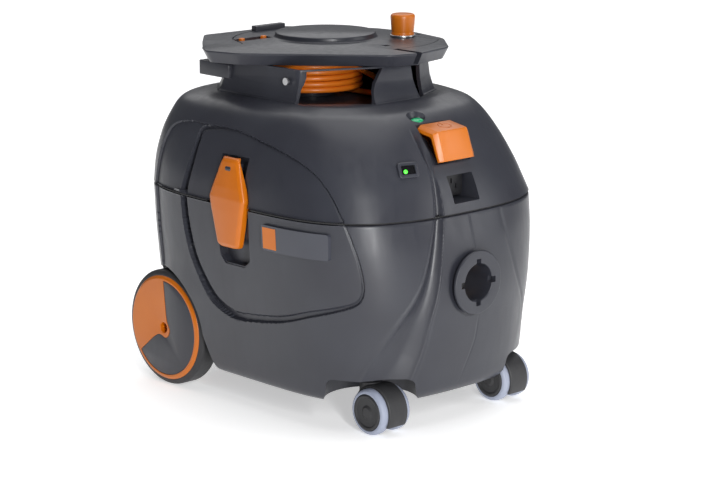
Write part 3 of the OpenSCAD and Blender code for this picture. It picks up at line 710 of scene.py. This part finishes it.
head_cavity = coarse("head_cavity", HEAD, WALL, -2, -5)
boolean(head_cavity, [prism(f"latch_block{side}", [(side * 139, -56), (side * 139, 32),
                                                   (side * 200, 32), (side * 200, -56)], 200, 292)
                      for side in (-1, 1)])
boolean(head_cavity, [prism("outlet_block", rect(-27, 236, 31, 274),
                            -240, -146, "y"),
                      prism("button_block", rounded(pad(-36, 276, 36, 340, 1), 2),
                            -240, -150, "y")])
head = shell("head", HEAD, COLUMNS, STEP, [(0.0, 5), (0.0, 1.4), (0.25, 0.6)], [(0.3, 8)])
neck_foot = [(103, 76, 14), (76, 109, 14), (-76, 109, 14), (-103, 76, 14), (-101, -64, 8),
             (-50, -113, 12), (24, -113, 12), (78, -86, 14), (102, -40, 16)]
neck_top = [(94, 70, 12), (68, 102, 12), (-68, 102, 12), (-94, 70, 12), (-94, -48, 8),
            (-14, -86, 10), (38, -98, 10), (70, -80, 12), (90, -35, 14)]
cutters = [head_cavity, prism("cup_well", [tuple(p) for p in inset(rounded(neck_foot), 1)],
                              300, 400)]
cutters += [latch_slot(-1, "hl"), latch_slot(1, "hr")]
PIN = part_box("latch_pins")
PIN_X, PIN_Z = PIN[1].x / MM - 1.8, (PIN[0].z + PIN[1].z) / 2 / MM
for side in (-1, 1):
    relief = lathe(f"relief{side}", rect(0, 0, 15.8, 44),
                   (side * PIN_X, 10, PIN_Z), "-y", 64)
    cutters.append(relief)
cutters.append(prism("outlet_mouth", rounded(pad(-17, 241, 21, 269, 1), 2), -240, -173, "y"))
cutters.append(prism("outlet_depth", rect(6, 243, 19.5, 267), -176, -152, "y"))
button_hole = rounded([(-158.5, 350, 0), (-158.5, 306, 2), (-186, 281, 3), (-220, 281, 0),
                       (-220, 350, 0)], 3)
cutters.append(prism("button_hole", button_hole, -27, 27, "x"))
lens_dish = soft_profile([(0, -1.5), (6.3, -1.5), (6.6, 0.5), (9.6, 5), (10.9, 12), (0, 12)],
                         0.6, 3)
dish = lathe("lens_dish", lens_dish, (0, 0, 0), "z", 64)
dish.data.transform(Matrix.Diagonal((1.47, 1.0, 1, 1)))
dish.data.transform(rotation(12, "X"))
dish.data.transform(Matrix.Translation(Vector(world([-17, -150, 321])[0])
                                       - Vector((0, Y0 * MM, 0))))
cutters.append(dish)


def window_place(o):
    """Puts a piece made about the origin on the sloping front left of the head."""
    return place(o, [-63, -184.5, 280], rotation(-17, "Z") @ rotation(62, "X"))


cutters.append(window_place(prism("window_hole", rounded(
    pad(-8.5, -6, 8.5, 6, 1), 3), -5, 14)))
boolean(head, cutters)
knuckles = []
for side in (-1, 1):
    knuckles.append(lathe(f"knuckle{side}", soft_profile(rect(0, 0, 3.6, 8), 0.4),
                          (side * PIN_X, -8, PIN_Z), "-y", 40))
    knuckles.append(across(f"knuckle_arm{side}", rect(-16, PIN_Z - 3.5, -8, PIN_Z + 3.5),
                           side, 141, PIN_X))
boolean(head, knuckles, "UNION")
finish_piece(head, "head_shell", GREY, 38)

# ---- hose inlet

ring_profile = soft_profile([(20.4, 0), (24.3, 0), (24.3, 31.5), (31.5, 31.5), (31.5, 34.6),
                             (34.6, 34.6), (34.6, 36.8), (33.8, 38), (21.2, 38), (20.4, 37.2)],
                            0.5, 3)
ring = lathe("ring", ring_profile, (0, -190.5, HOSE_Z), "-y", 160)
notches = []
for k in range(4):
    a = math.radians(90 * k)
    c = np.array([22.2 * math.cos(a), HOSE_Z + 22.2 * math.sin(a)])
    u, v = np.array([math.cos(a), math.sin(a)]), np.array([-math.sin(a), math.cos(a)])
    corners = [(*(c + u * i + v * j), 0.8) for i, j in rect(-4, -3.4, 3.4, 3.4)]
    notches.append(prism(f"notch{k}", rounded(corners, 3), -240, -222, "y"))
boolean(ring, notches)
finish_piece(ring, "inlet_ring", GREY, 35)
finish_piece(lathe("lip", soft_profile([(19, 0), (27.4, 0), (27.4, 4), (21, 4), (19.2, 2.6)], 0.8),
                   (0, -186.5, HOSE_Z), "-y", 96), "inlet_seal", RUBBER)
collar = lathe("collar_tube", rect(18.2, 0, 24.4, 13.2),
               (0, -170.5, HOSE_Z), "-y", 96)
card = prism("collar", rounded(pad(-48, 109, 48, 189, 8)),
             -186.5, -183.5, "y")
boolean(card, [lathe("card_hole", rect(0, 0, 18.2, 20), (0, -175, HOSE_Z), "-y", 96)])
boolean(card, [collar], "UNION")
finish_piece(card, "bag_collar", CARD)

# Bag: a slack pillow with pinched corners, soft folds and a welded seam round its middle
bag_rows = [(84, 70, 130, 120), (88, 88, 158, 148), (110, 96, 170, 158), (150, 97, 170, 160),
            (180, 94, 168, 156), (192, 84, 156, 148), (197, 62, 130, 122)]
bag_rings = []
for row in between([(z, a, f, r, 3, 3, 3, 3) for z, a, f, r in bag_rows], 3.0):
    x, y = section(row, 260)
    t = np.linspace(0, 2 * math.pi, 260, endpoint=False)
    z = row[0]
    fold = (1.6 * np.sin(9 * t + z * 0.05) + 1.1 * np.sin(17 * t - z * 0.11 + 1)
            + 0.8 * np.sin(31 * t))
    fold = (fold - 3.6) * math.sin(math.pi * (z - 80) / 122)
    seam = -1.2 * math.exp(-((z - 140) / 2.2) ** 2)
    scale = 1 + (fold + seam) / 150
    y = np.where((np.abs(x) < 58) & (y < -168), -168.0, y * scale)
    bag_rings.append(np.stack([x * scale, y, np.full(260, z)
                               + 1.2 * np.sin(5 * t) * (z > 188)], 1))
bag = fix_normals(plain_object("bag", *stack(bag_rings)))
finish_piece(bag, "filter_bag", FLEECE, 60)

# ---- joint seal

inner = coarse("seal_in", [TUB[-1], TUB[-1]], 8, -1, 3, 240)
outer_rings = [level(TUB[-1], 360, draw, dz)
               for dz, draw in ((0, 2.9), (0.3, 2.3), (1.0, 2.1), (1.7, 2.3), (2.0, 2.9))]
seal = fix_normals(plain_object("joint_seal", *stack(outer_rings)))
boolean(seal, [inner, prism("seal_cut_l", rect(-48, 200, 24, 260), -200, -156, "x"),
               prism("seal_cut_r", rect(-48, 200, 24, 260), 156, 200, "x")])
finish_piece(seal, "lid_seal", RUBBER)

# ---- mains cord

CORD_D = 6.4
CORE = (0, 38)


def winding():
    """Five layers of five turns; each row steps up in its own sector, clear of its neighbours."""
    turn = math.radians
    pts = [(31.3, -50 + 4.4 * k, 332.5) for k in range(20)]
    a = 0.0
    while a < turn(209):
        z = 332.5 + 7.3 * float(smooth((a - turn(90)) / turn(120)))
        pts.append((CORE[0] + 31.3 * math.cos(a), CORE[1] + 31.3 * math.sin(a), z))
        a += turn(15)
    begin = 210
    for layer in range(5):
        r = 31.3 + 6.4 * layer
        last = layer == 4
        stop = 1620 + (0 if last else 60)
        for d in range(0, stop + (1 if last else 0), 12):
            rows = sum(float(smooth((d - 240 - 360 * k) / 60)) for k in range(4))
            z = 339.8 + 6.5 * (rows if layer % 2 == 0 else 4 - rows)
            out = 0 if last else 6.4 * float(smooth((d - 1620) / 60))
            b = turn(begin + d)
            slack = 0.28 * math.sin(3 * b + layer) * math.sin(0.61 * b) if last else 0
            z += 0.2 * math.sin(2.3 * b + 1) if last and 0 < d < stop - 60 else 0
            q = r + out + (slack if d < stop - 30 else 0)
            pts.append((CORE[0] + q * math.cos(b), CORE[1] + q * math.sin(b), z))
        begin += 1680
    way = turn(begin - 1680 + 1620)
    s0 = np.array(pts[-1])
    h = np.array([-math.sin(way), math.cos(way), 0])
    n = np.array([h[1], -h[0], 0])
    for k in range(1, 19):
        t = k / 18
        e = t * t * (3 - 2 * t)
        pts.append(tuple(s0 + h * 72 * t + n * 10.8 * e - np.array([0, 0, (s0[2] - 337.4) * e])))
    return np.array(pts), h


CORD_LINE, PLUG_WAY = winding()
cord_curve = bpy.data.curves.new("mains_cord", "CURVE")
cord_curve.dimensions = "3D"
cord_curve.bevel_depth = CORD_D / 2 * MM
cord_curve.bevel_resolution = 4
cord_curve.use_fill_caps = True
spline = cord_curve.splines.new("POLY")
spline.points.add(len(CORD_LINE) - 1)
for point, co in zip(spline.points, world(CORD_LINE)):
    point.co = (*co, 1)
spline.use_smooth = True
cord = bpy.data.objects.new("mains_cord", cord_curve)
bpy.context.scene.collection.objects.link(cord)
cord_curve.materials.append(CORD)
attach(cord, "head")
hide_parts("cord_coil", "cord_ends")

# Plug: tapered rubber body with grip ribs and a strain relief where the cord enters
plug_profile = [(0, 0), (3.9, 0), (4.6, 3), (5.6, 6)]
for k in range(5):
    plug_profile += [(7.2, 7 + 3 * k), (7.8, 7.8 + 3 * k), (7.0, 8.8 + 3 * k)]
plug_profile += [(8.9, 23), (9, 26.8), (8.2, 27.8), (0, 27.8)]
plug = lathe("plug_body", plug_profile, (0, 0, 0), "x", 48)
place(plug, CORD_LINE[-1], Matrix.Rotation(math.atan2(PLUG_WAY[1], PLUG_WAY[0]), 4, "Z"))
finish_piece(plug, "plug", RUBBER)
relief_profile = [(0, 0)] + [(4.9 - 1.5 * k / 8 + (0.25 if k % 2 else 0), 24 * k / 8)
                             for k in range(9)] + [(0, 24)]
relief = lathe("strain_relief", relief_profile, (31, -50, 332.5), "-y", 48)
relief.data.transform(Matrix.Translation((0, -24 * MM, 0)))
relief.data.transform(Matrix.Translation(-Vector(world([31, -74, 332.5])[0])))
relief.data.transform(Matrix.Rotation(math.pi, 4, "Z"))
relief.data.transform(Matrix.Translation(Vector(world([31, -74, 332.5])[0])))
gland = bevel(prism("gland", rect(23, -86, 39, -74), 328, 338), 1.2)
boolean(gland, [relief], "UNION")
finish_piece(gland, "cord_gland", RUBBER)

# ---- neck and top plate


def eased(z):
    return float(np.interp(z, [338.6, 340, 343, 348, 356, 373], [0, 0.12, 0.33, 0.55, 0.78, 1]))


def cup(name, draw, rows, steps=10):
    foot, top = np.array(rounded(neck_foot, steps)), np.array(rounded(neck_top, steps))
    rings = []
    for z, more in rows:
        ring = foot + (top - foot) * eased(z)
        ring = np.array(inset(ring, draw + more))
        rings.append(np.c_[ring, np.full(len(ring), z)])
    return fix_normals(plain_object(name, *stack(rings)))


neck = cup("neck", 0, [(322, 2), (324, 0), (338.2, 0), (338.9, 0.25), (339.5, 1.0), (341, 0.8),
                       (343, 0.5), (348, 0), (356, 0), (365, 0), (372.6, 0)])
cup_hollow = cup("cup_hollow", 5, [(328, 2), (330, 0.4), (333, 0), (343, 0), (348, 0), (356, 0),
                                   (365, 0), (380, 0)])
window_left = [(-84, -50), (-170, -50), (-170, -190)]
window_foot = [(-20, -20)] + window_left + [(-58, -190), (-40, -108), (-30, -80)]
window_top = [(-10, -20)] + window_left + [(-20, -190), (-8, -88), (-5, -60)]
window = fix_normals(plain_object("cord_window", *stack(
    [np.array([(x, y, z) for x, y in line])
     for line, z in ((window_foot, 337.6), (window_top, 371))])))
slot_cut = prism("cord_slot", rect(27, -150, 38, -60), 334, 371)
boolean(neck, [cup_hollow, window, slot_cut])
for x in (-100, 86):
    lug = bevel(prism("lug", rect(x, 60, x + 14, 111), 352, 368), 1)
    boolean(neck, [lug], "UNION")
dimple = rounded(pad(-39, 355, -29, 365, 5))
for side in (-1, 1):
    boolean(neck, [across("screw_dimple", dimple, side, 97.2, 120)])
finish_piece(neck, "cable_neck", GREY, 35)

core_profile = soft_profile(rect(25, 0, 28, 45), 0.8)
finish_piece(lathe("core", core_profile, (0, 38, 328), "z", 80), "cable_core", GREY)

plate_corners = [(-56, 156, 12), (-112, 92, 20), (-133, 60, 16), (-122, 22, 22), (-8, -104, 22),
                 (26, -113, 14), (82, -100, 26), (124, -50, 30), (136, 8, 30), (127, 60, 20),
                 (110, 94, 20), (56, 152, 12)]
plate_rows = [(373, 7), (373.4, 6.2), (384.4, 0.5), (385.2, 0.05), (386.0, 0), (386.6, 0.3),
              (386.9, 0.8), (387, 1.4)]


def plate_body(name):
    line = even(rounded(plate_corners, 8), 1.6)
    rings = []
    for z, d in plate_rows:
        ring = inset(line, d)
        rings.append(np.c_[ring, np.full(len(ring), z)])
    return fix_normals(plain_object(name, *stack(rings)))


def arm_cutters(grow, tag, low=360, high=400):
    r = 95 - grow
    arc = [(50 + r * math.cos(math.radians(a)), 18 + r * math.sin(math.radians(a)))
           for a in np.linspace(256.5, 310, 16)]
    outline = [(28 - grow, -150), (28 - grow, -75)] + arc
    outline += [(111 - grow, -8 + grow), (124.5, -8 + grow), (124.5, -12), (170, -12), (170, -150)]
    end = lathe(f"arm_end{tag}", rect(0, low, 13.5 + grow, high),
                (*ARM_PIVOT, 0), "z", 64)
    return [prism(f"arm_zone{tag}", outline, low, high), end]


plate = plate_body("plate")
boolean(plate, arm_cutters(1, "p"))
lug = lathe("arm_lug", rect(0, 373.05, 10.5, 377), (*ARM_PIVOT, 0), "z", 64)
link = prism("arm_link", [(100, -2), (100, 4), (120, 6), (126, 4), (126, -8), (108, -6)],
             373.05, 377)
boolean(plate, [lug, link], "UNION")
boss_profile = [(0, -4), (60, -4), (60, 0), (58.6, 0.4), (57.7, 1.4), (57.15, 3), (57, 4.6),
                (56.6, 5.5), (55.8, 6), (0, 6)]
tab = bevel(prism("tab", rect(4, 134, 48, 143), 384, 393), 0.8)
boolean(plate, [lathe("boss", boss_profile, (36, 51, 387), "z", 180), tab], "UNION")
scoop = fix_normals(plain_object("scoop", [(-74, 137, 388), (-97, 95.5, 388), (-131, 62, 388),
                                           (-130, 120, 388), (-116, 110, 375)],
                                 [(0, 1, 2, 3), (1, 0, 4), (2, 1, 4), (3, 2, 4), (0, 3, 4)]))
seam = np.array(curve_points([(-70, 71), (-53, 108), (-25, 130), (2, 140)], 1.5))
turn = np.gradient(seam, axis=0)
turn = np.stack([-turn[:, 1], turn[:, 0]], 1) / np.linalg.norm(turn, axis=1)[:, None] * 0.8
cutters = [prism("clip_pocket", rounded(pad(-60, 86, -12, 102, 2)),
                 382, 400), scoop,
           prism("seam", [tuple(q) for q in np.r_[seam + turn, (seam - turn)[::-1]]], 385, 400),
           lathe("knob_hole", rect(0, 370, 5.4, 400), (*KNOB, 0), "z", 32),
           prism("slit", rounded(pad(32, -51, 40, -44, 1)), 385, 400),
           prism("gap_cut", rect(21, -150, 29, -74), 360, 400)]
boolean(plate, cutters)
finish_piece(plate, "top_plate", GREY, 35)

arm = plate_body("arm")
zone = arm_cutters(0, "a")
boolean(zone[0], [zone[1]], "UNION")
boolean(arm, [zone[0]], "INTERSECT")
boolean(arm, [prism("arm_low", rect(20, -150, 160, 30), 360, 373.4),
              lathe("arm_under", rect(0, 360, 14.5, 377.3),
                    (*ARM_PIVOT, 0), "z", 64),
              lathe("arm_bore", rect(0, 360, 3.06, 400),
                    (*ARM_PIVOT, 0), "z", 32)])
finish_piece(arm, "release_arm", GREY, 35)

knob_profile = soft_profile([(0, -26.2), (5, -26.2), (5, 0.6), (12.9, 0.6), (12.9, 4.6),
                             (12.5, 5.4),
                             (12.9, 8), (14, 22), (13.6, 24.6), (12, 26), (0, 26.4)], 0.9, 3)
knob = lathe("knob", knob_profile, (*KNOB, 387), "z", 96)
finish_piece(knob, "release_knob", ORANGE, 40)
collar_ring = lathe("knob_collar", soft_profile(rect(12.6, 0.2, 14.4, 2.6), 0.6),
                    (*KNOB, 387), "z", 96)
collar_ring.data.shade_smooth()
collar_ring.data.materials.clear()
collar_ring.data.materials.append(STEEL)
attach(collar_ring, "release_knob")

clip = bevel(prism("clip_plate", rect(-59, 87, -13, 101), 382, 383.5), 0.4)
for x in (-52, -20):
    stud = lathe("stud", soft_profile([(0, 382), (3.5, 382), (3.5, 388.2), (2.8, 389),
                                       (0, 389.2)], 0.7),
                 (x, 94, 0), "z", 48)
    boolean(clip, [stud], "UNION")
finish_piece(clip, "plate_clip", ORANGE)

# ---- latches


def latch(side, body):
    """Six-sided lever with a folded face and broad bevels, built as a stack of level sections."""
    line = np.array(rounded([(-13, 282, 4), (13, 282, 4), (29, 238, 8), (17, 184, 6), (-17, 184, 6),
                             (-29, 238, 8)], 8))
    right = line[line[:, 0] > 0]
    right = right[np.argsort(right[:, 1])]
    zs = np.unique(np.r_[np.linspace(184, 190, 14), np.linspace(190, 276, 58),
                         np.linspace(276, 282, 14)])
    rings = []
    cut_in = np.array([0, 0.25, 0.9, 2.2, 4.0, 5.0])
    cut_back = np.array([3.6, 2.8, 1.9, 1.05, 0.25, 0.0])
    for z in zs:
        w = float(np.interp(z, right[:, 1], right[:, 0]))
        face = float(np.interp(z, [183, 225, 238, 250, 283], [166.2, 167.7, 167.6, 166.2, 160.6]))
        end = min(z - 184, 282 - z)
        face -= float(np.interp(end, cut_in, cut_back))
        xs = np.clip(np.r_[w - cut_in], 0, None)
        front = [(v, face - b) for v, b in zip(xs, cut_back)]
        loop = [(-w, 157.5), (w, 157.5)] + front + [(0, face)] + [(-v, b) for v, b in front[::-1]]
        rings.append(np.array([(side * d, LATCH_Y + v, z) for v, d in loop]))
    o = fix_normals(plain_object(f"latch{body}", *stack(rings)))
    return finish_piece(o, body, ORANGE, 28)


latch(-1, "latch_left")
latch(1, "latch_right")

# ---- push button

full = rounded([(-160, 320.5, 1.5), (-187, 316, 2), (-197.4, 285.4, 1), (-192, 283.6, 1),
                (-181.5, 309.4, 2), (-161, 313.2, 1)], 4)
worn = rounded([(-160, 317.2, 1.5), (-184, 312.9, 2), (-194.6, 284.9, 1), (-192, 283.6, 1),
                (-181.5, 309.4, 2), (-161, 313.2, 1)], 4)
button = fix_normals(plain_object("button", *stack(
    [np.array([(x, y, z) for y, z in line])
     for x, line in ((-BUTTON_HALF, worn), (-21.5, full), (21.5, full), (BUTTON_HALF, worn))])))
button = bevel(button, 0.7, 3, 25)
arc = [(a, r) for r, turnwise in ((8.0, 1), (6.7, -1))
       for a in np.linspace(125, 415, 40)[::turnwise]]
ring_line = [(r * math.cos(math.radians(a)), r * math.sin(math.radians(a))) for a, r in arc]
marks = [prism("mark_ring", ring_line, -0.5, 3),
         prism("mark_bar", rect(-0.8, 2, 0.8, 9.6), -0.5, 3)]
for mark in marks:
    place(mark, [2, -173, 318.2], rotation(9.5, "X"))
boolean(button, marks)
finish_piece(button, "power_button", ORANGE, 35)

# ---- window, lens and outlet

bezel = prism("bezel", rounded(pad(-11.6, -8.6, 11.6, 8.6, 3)),
              -4, 2.4)
bezel = bevel(bezel, 1.2, 3, 60)
boolean(bezel, [prism("bezel_hole", rounded(pad(-8, -5, 8, 5, 1)), -6, 6)])
window_place(bezel)
dress(bezel, GREY, 40)
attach(bezel, "head")
pane = window_place(prism("pane", rounded(pad(-8.4, -5.4, 8.4, 5.4, 1)), -3, 0.4))
GLOSS = moulded("smoked_window", (0.004, 0.004, 0.005), (0.007, 0.007, 0.008), (0.06, 0.1), 900,
                0.000002)
finish_piece(pane, "led_window", GLOSS)
led = window_place(lathe("led", [(0, 0), (2.2, 0), (2.2, 1.1), (1.7, 1.7), (0.8, 2.0), (0, 2.05)],
                         (-3, -1.5, 0), "z", 32))
finish_piece(led, "status_led", GREEN_LIT)
lens = lathe("lens", soft_profile([(0, 0), (6.1, 0), (6.1, 3), (5.2, 5.4), (3, 6.6), (0, 7)], 0.6),
             (0, 0, 0), "z", 64)
place(lens, [-17, -150.5, 318.5], rotation(12, "X") @ Matrix.Diagonal((1.45, 1.0, 1, 1)))
finish_piece(lens, "bag_full_lens", GREEN_PAINTED_GLOW)

socket = prism("socket", rounded(pad(-15, 243, 19, 267, 4)),
               -184, -166, "y")
socket = bevel(socket, 1.0, 3, 60)
holes = [prism(f"contact{x}", rect(x - 1.2, z, x + 1.2, z + 5.5),
               -194, -176, "y") for x, z in ((-5, 251), (2, 257), (9, 251))]
boolean(socket, holes)
finish_piece(socket, "outlet_socket", DARK)

# ---- rear wheels


def wheel(side, tag):
    axis = "x" if side > 0 else "-x"
    at = (side * 121, AXLE_Y, AXLE_Z)
    hub_profile = soft_profile([(6.06, 28), (54.2, 28), (56.8, 28), (59.6, 25.6), (59.9, 24.6),
                                (56, 24.6), (56, 0), (50, 0), (50, 22), (14, 22), (14, 0),
                                (6.06, 0)], 0.9, 3)
    hub = lathe(f"hub_{tag}", hub_profile, at, axis, 180)

    def face(r):
        pts = [(r * math.cos(math.radians(a)), r * math.sin(math.radians(a)))
               for a in np.linspace(128, 360, 90)]
        pts += [tuple(p) for p in curve_points([(r, 0), (30, -2.5), (10, -5), (-2, -10), (-11, -4),
                                                (-10, 12), tuple(pts[0])], 1.5)[1:-1]]
        return [(AXLE_Y + b, AXLE_Z + u) for u, b in pts]

    boolean(hub, [across("insert_seat", face(54.6), side, 147.2, 152)])
    finish_piece(hub, f"rear_hub_{tag}", ORANGE, 35)
    plate_in = bevel(across(f"insert_{tag}", face(54.1), side, 147.2, 148.7), 0.5, 2, 50)
    finish_piece(plate_in, f"rear_insert_{tag}", GREY, 35)
    tyre_profile = soft_profile([(56, 0), (64, 0), (66, 2.6), (66, 21), (64.6, 23.4), (61.2, 25.2),
                                 (60, 25.3), (56, 24.7)], 1.0, 3)
    tyre = lathe(f"tyre_{tag}", tyre_profile, at, axis, 180)
    finish_piece(tyre, f"rear_tyre_{tag}", TYRE, 35)


wheel(-1, "left")
wheel(1, "right")

# ---- casters


def caster(side, tag):
    x0, y0 = side * CASTER_X, STEM_Y - 16
    hood = lathe(f"hood_{tag}", soft_profile([(0, -13.5), (26.6, -13.5), (28, -12), (28, 12),
                                              (26.6, 13.5), (0, 13.5)], 0.8),
                 (x0, y0, 25), "x", 120)
    boss = lathe(f"boss_{tag}", soft_profile(rect(0, 36, 12, 54), 1),
                 (x0, STEM_Y, 0), "z", 64)
    boolean(hood, [boss], "UNION")
    room = [lathe(f"room_{tag}{s}", rect(0, 7.4, 25.8, 17.4),
                  (x0, y0, 25), "x" if s > 0 else "-x", 96) for s in (-1, 1)]
    room.append(prism("under", rect(x0 - 30, -222, x0 + 30, -100),
                      -10, 11))
    room.append(prism("behind", rect(x0 - 30, -180, x0 + 30, -100),
                      -1, 20))
    boolean(hood, room)
    finish_piece(hood, f"caster_hood_{tag}", HOOD, 35)
    for out, where in ((1, "outer"), (-1, "inner")):
        axis = "x" if side * out > 0 else "-x"
        disc = [(4.06, 8.2), (20, 8.2), (20, 19.6), (19.4, 20.9), (18.2, 21.7), (16.5, 21.5),
                (15.2, 20.4), (8, 20.1), (6.6, 20.9), (5.4, 21.8), (0, 22), (0, 19.2), (4.06, 19.2)]
        disc = lathe(f"disc_{tag}_{where}", disc, (x0, y0, 25), axis, 96)
        finish_piece(disc, f"caster_wheel_{tag}_{where}", HOOD, 30)
        tyre = [(20, 8.2), (22.4, 8.2), (23.9, 8.9), (24.8, 10.2), (25, 12), (25, 15), (24.6, 17.6),
                (23.6, 19.6), (22.2, 20.6), (20, 20.9)]
        tyre = lathe(f"tread_{tag}_{where}", soft_profile(tyre, 0.6), (x0, y0, 25), axis, 120)
        finish_piece(tyre, f"caster_tyre_{tag}_{where}", TREAD, 40)


caster(-1, "left")
caster(1, "right")

# ---- rear of the machine


def tub_solid(name, draw, first, last, columns=200):
    return coarse(name, [r for r in TUB[4:]], draw, first, last, columns)


bracket_line = rounded([(-98, 150, 1), (-98, 192, 4), (-82, 203.5, 8), (82, 203.5, 8), (98, 192, 4),
                        (98, 150, 1)], 6)
bracket = bevel(prism("bracket", bracket_line, 134, 224), 2.0, 3, 50)
boolean(bracket, [tub_solid("tub_inner", 0.6, -2, 2),
                  prism("park_wide", rect(-19, 150, 19, 198), 150, 230),
                  prism("park_slot", rect(-11, 150, 11, 210), 150, 230)])
finish_piece(bracket, "tool_park_bracket", GREY, 35)

head_rows = [r for r in HEAD[:3]]
grille = coarse("grille", head_rows, -3.5, 0, 0, 400)
boolean(grille, [bevel(prism("grille_block", rounded(pad(-96, 240, 96, 283, 5)), 100, 230, "y"),
                       0.1)],
        "INTERSECT")
cutters = [coarse("grille_in", head_rows, 1.0, -2, 2, 200)]
for z in (249, 255, 261, 267, 273):
    slat = rounded([(175, z, 0), (215, z - 1.5, 0), (215, z + 1.5, 0), (175, z + 3, 0)], 1)
    cutters.append(prism(f"louvre{z}", slat, -66, 66, "x"))
boolean(grille, cutters)
finish_piece(grille, "exhaust_grille", DARK, 35)

# ---- side badge

badge = coarse("badge", TUB[5:], -0.9, 0, 0, 900)
badge_line = rounded(pad(-155, 191, -67, 219, 3), 5)
boolean(badge, [prism("badge_area", badge_line, -200, -100, "x")], "INTERSECT")
boolean(badge, [coarse("badge_in", TUB[5:], 3.6, -2, 2, 300)])
finish_piece(badge, "side_badge", BADGE, 35)
block = coarse("badge_block", TUB[5:], -1.2, 0, 0, 900)
boolean(block, [prism("block_area", rect(-89, 193.5, -69.5, 216.5),
                      -200, -100, "x")], "INTERSECT")
boolean(block, [coarse("block_in", TUB[5:], 2.0, -2, 2, 300)])
dress(block, ORANGE, 35)
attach(block, "tub")

# ---- parts kept from the CAD

for name, node in frame["nodes"].items():
    if node.hide_render:
        continue
    dress(node, SLOT_MATERIALS[SLOT[name]], 32)

# ---- studio

floor_mesh = bpy.data.meshes.new("floor")
floor_mesh.from_pydata(pad(-9, -9, 9, 9, 0), [], [(0, 1, 2, 3)])
floor = bpy.data.objects.new("floor", floor_mesh)
bpy.context.scene.collection.objects.link(floor)
paper, paper_tree, paper_shader, *_ = nodes_of("pale_floor")
paper_tree.links.new(colours(paper_tree, noise(paper_tree, 3, 2), (0.90, 0.90, 0.90),
                             (0.93, 0.93, 0.93)), paper_shader.inputs["Base Color"])
paper_shader.inputs["Roughness"].default_value = 0.8
paper_shader.inputs["Emission Color"].default_value = (1, 1, 1, 1)
paper_shader.inputs["Emission Strength"].default_value = 0.45
floor_mesh.materials.append(paper)

sky = bpy.data.worlds.new("studio")
sky.use_nodes = True
sky.node_tree.nodes["Background"].inputs["Color"].default_value = (0.93, 0.95, 1.0, 1)
sky.node_tree.nodes["Background"].inputs["Strength"].default_value = 0.12
bpy.context.scene.world = sky
bpy.context.scene.view_settings.view_transform = "Standard"


def soft_light(name, at, aim, width, height, power, colour=(1, 1, 1)):
    data = bpy.data.lights.new(name, "AREA")
    data.shape = "RECTANGLE"
    data.size, data.size_y = width, height
    data.energy = power
    data.color = colour
    o = bpy.data.objects.new(name, data)
    bpy.context.scene.collection.objects.link(o)
    o.location = at
    o.rotation_euler = (Vector(aim) - Vector(at)).to_track_quat("-Z", "Y").to_euler()
    return o


soft_light("top", (0.15, -0.1, 2.5), (0, 0, 0.2), 2.4, 2.4, 30)
soft_light("backdrop", (2.2, 3.4, 3.2), (1.6, 3.0, 0), 6.0, 5.0, 130)
soft_light("front_strip", (-1.05, -1.85, 0.7), (-0.06, -0.15, 0.2), 0.14, 1.4, 34)
soft_light("front_right", (1.5, -1.9, 0.9), (0.05, -0.1, 0.2), 0.9, 1.4, 11)
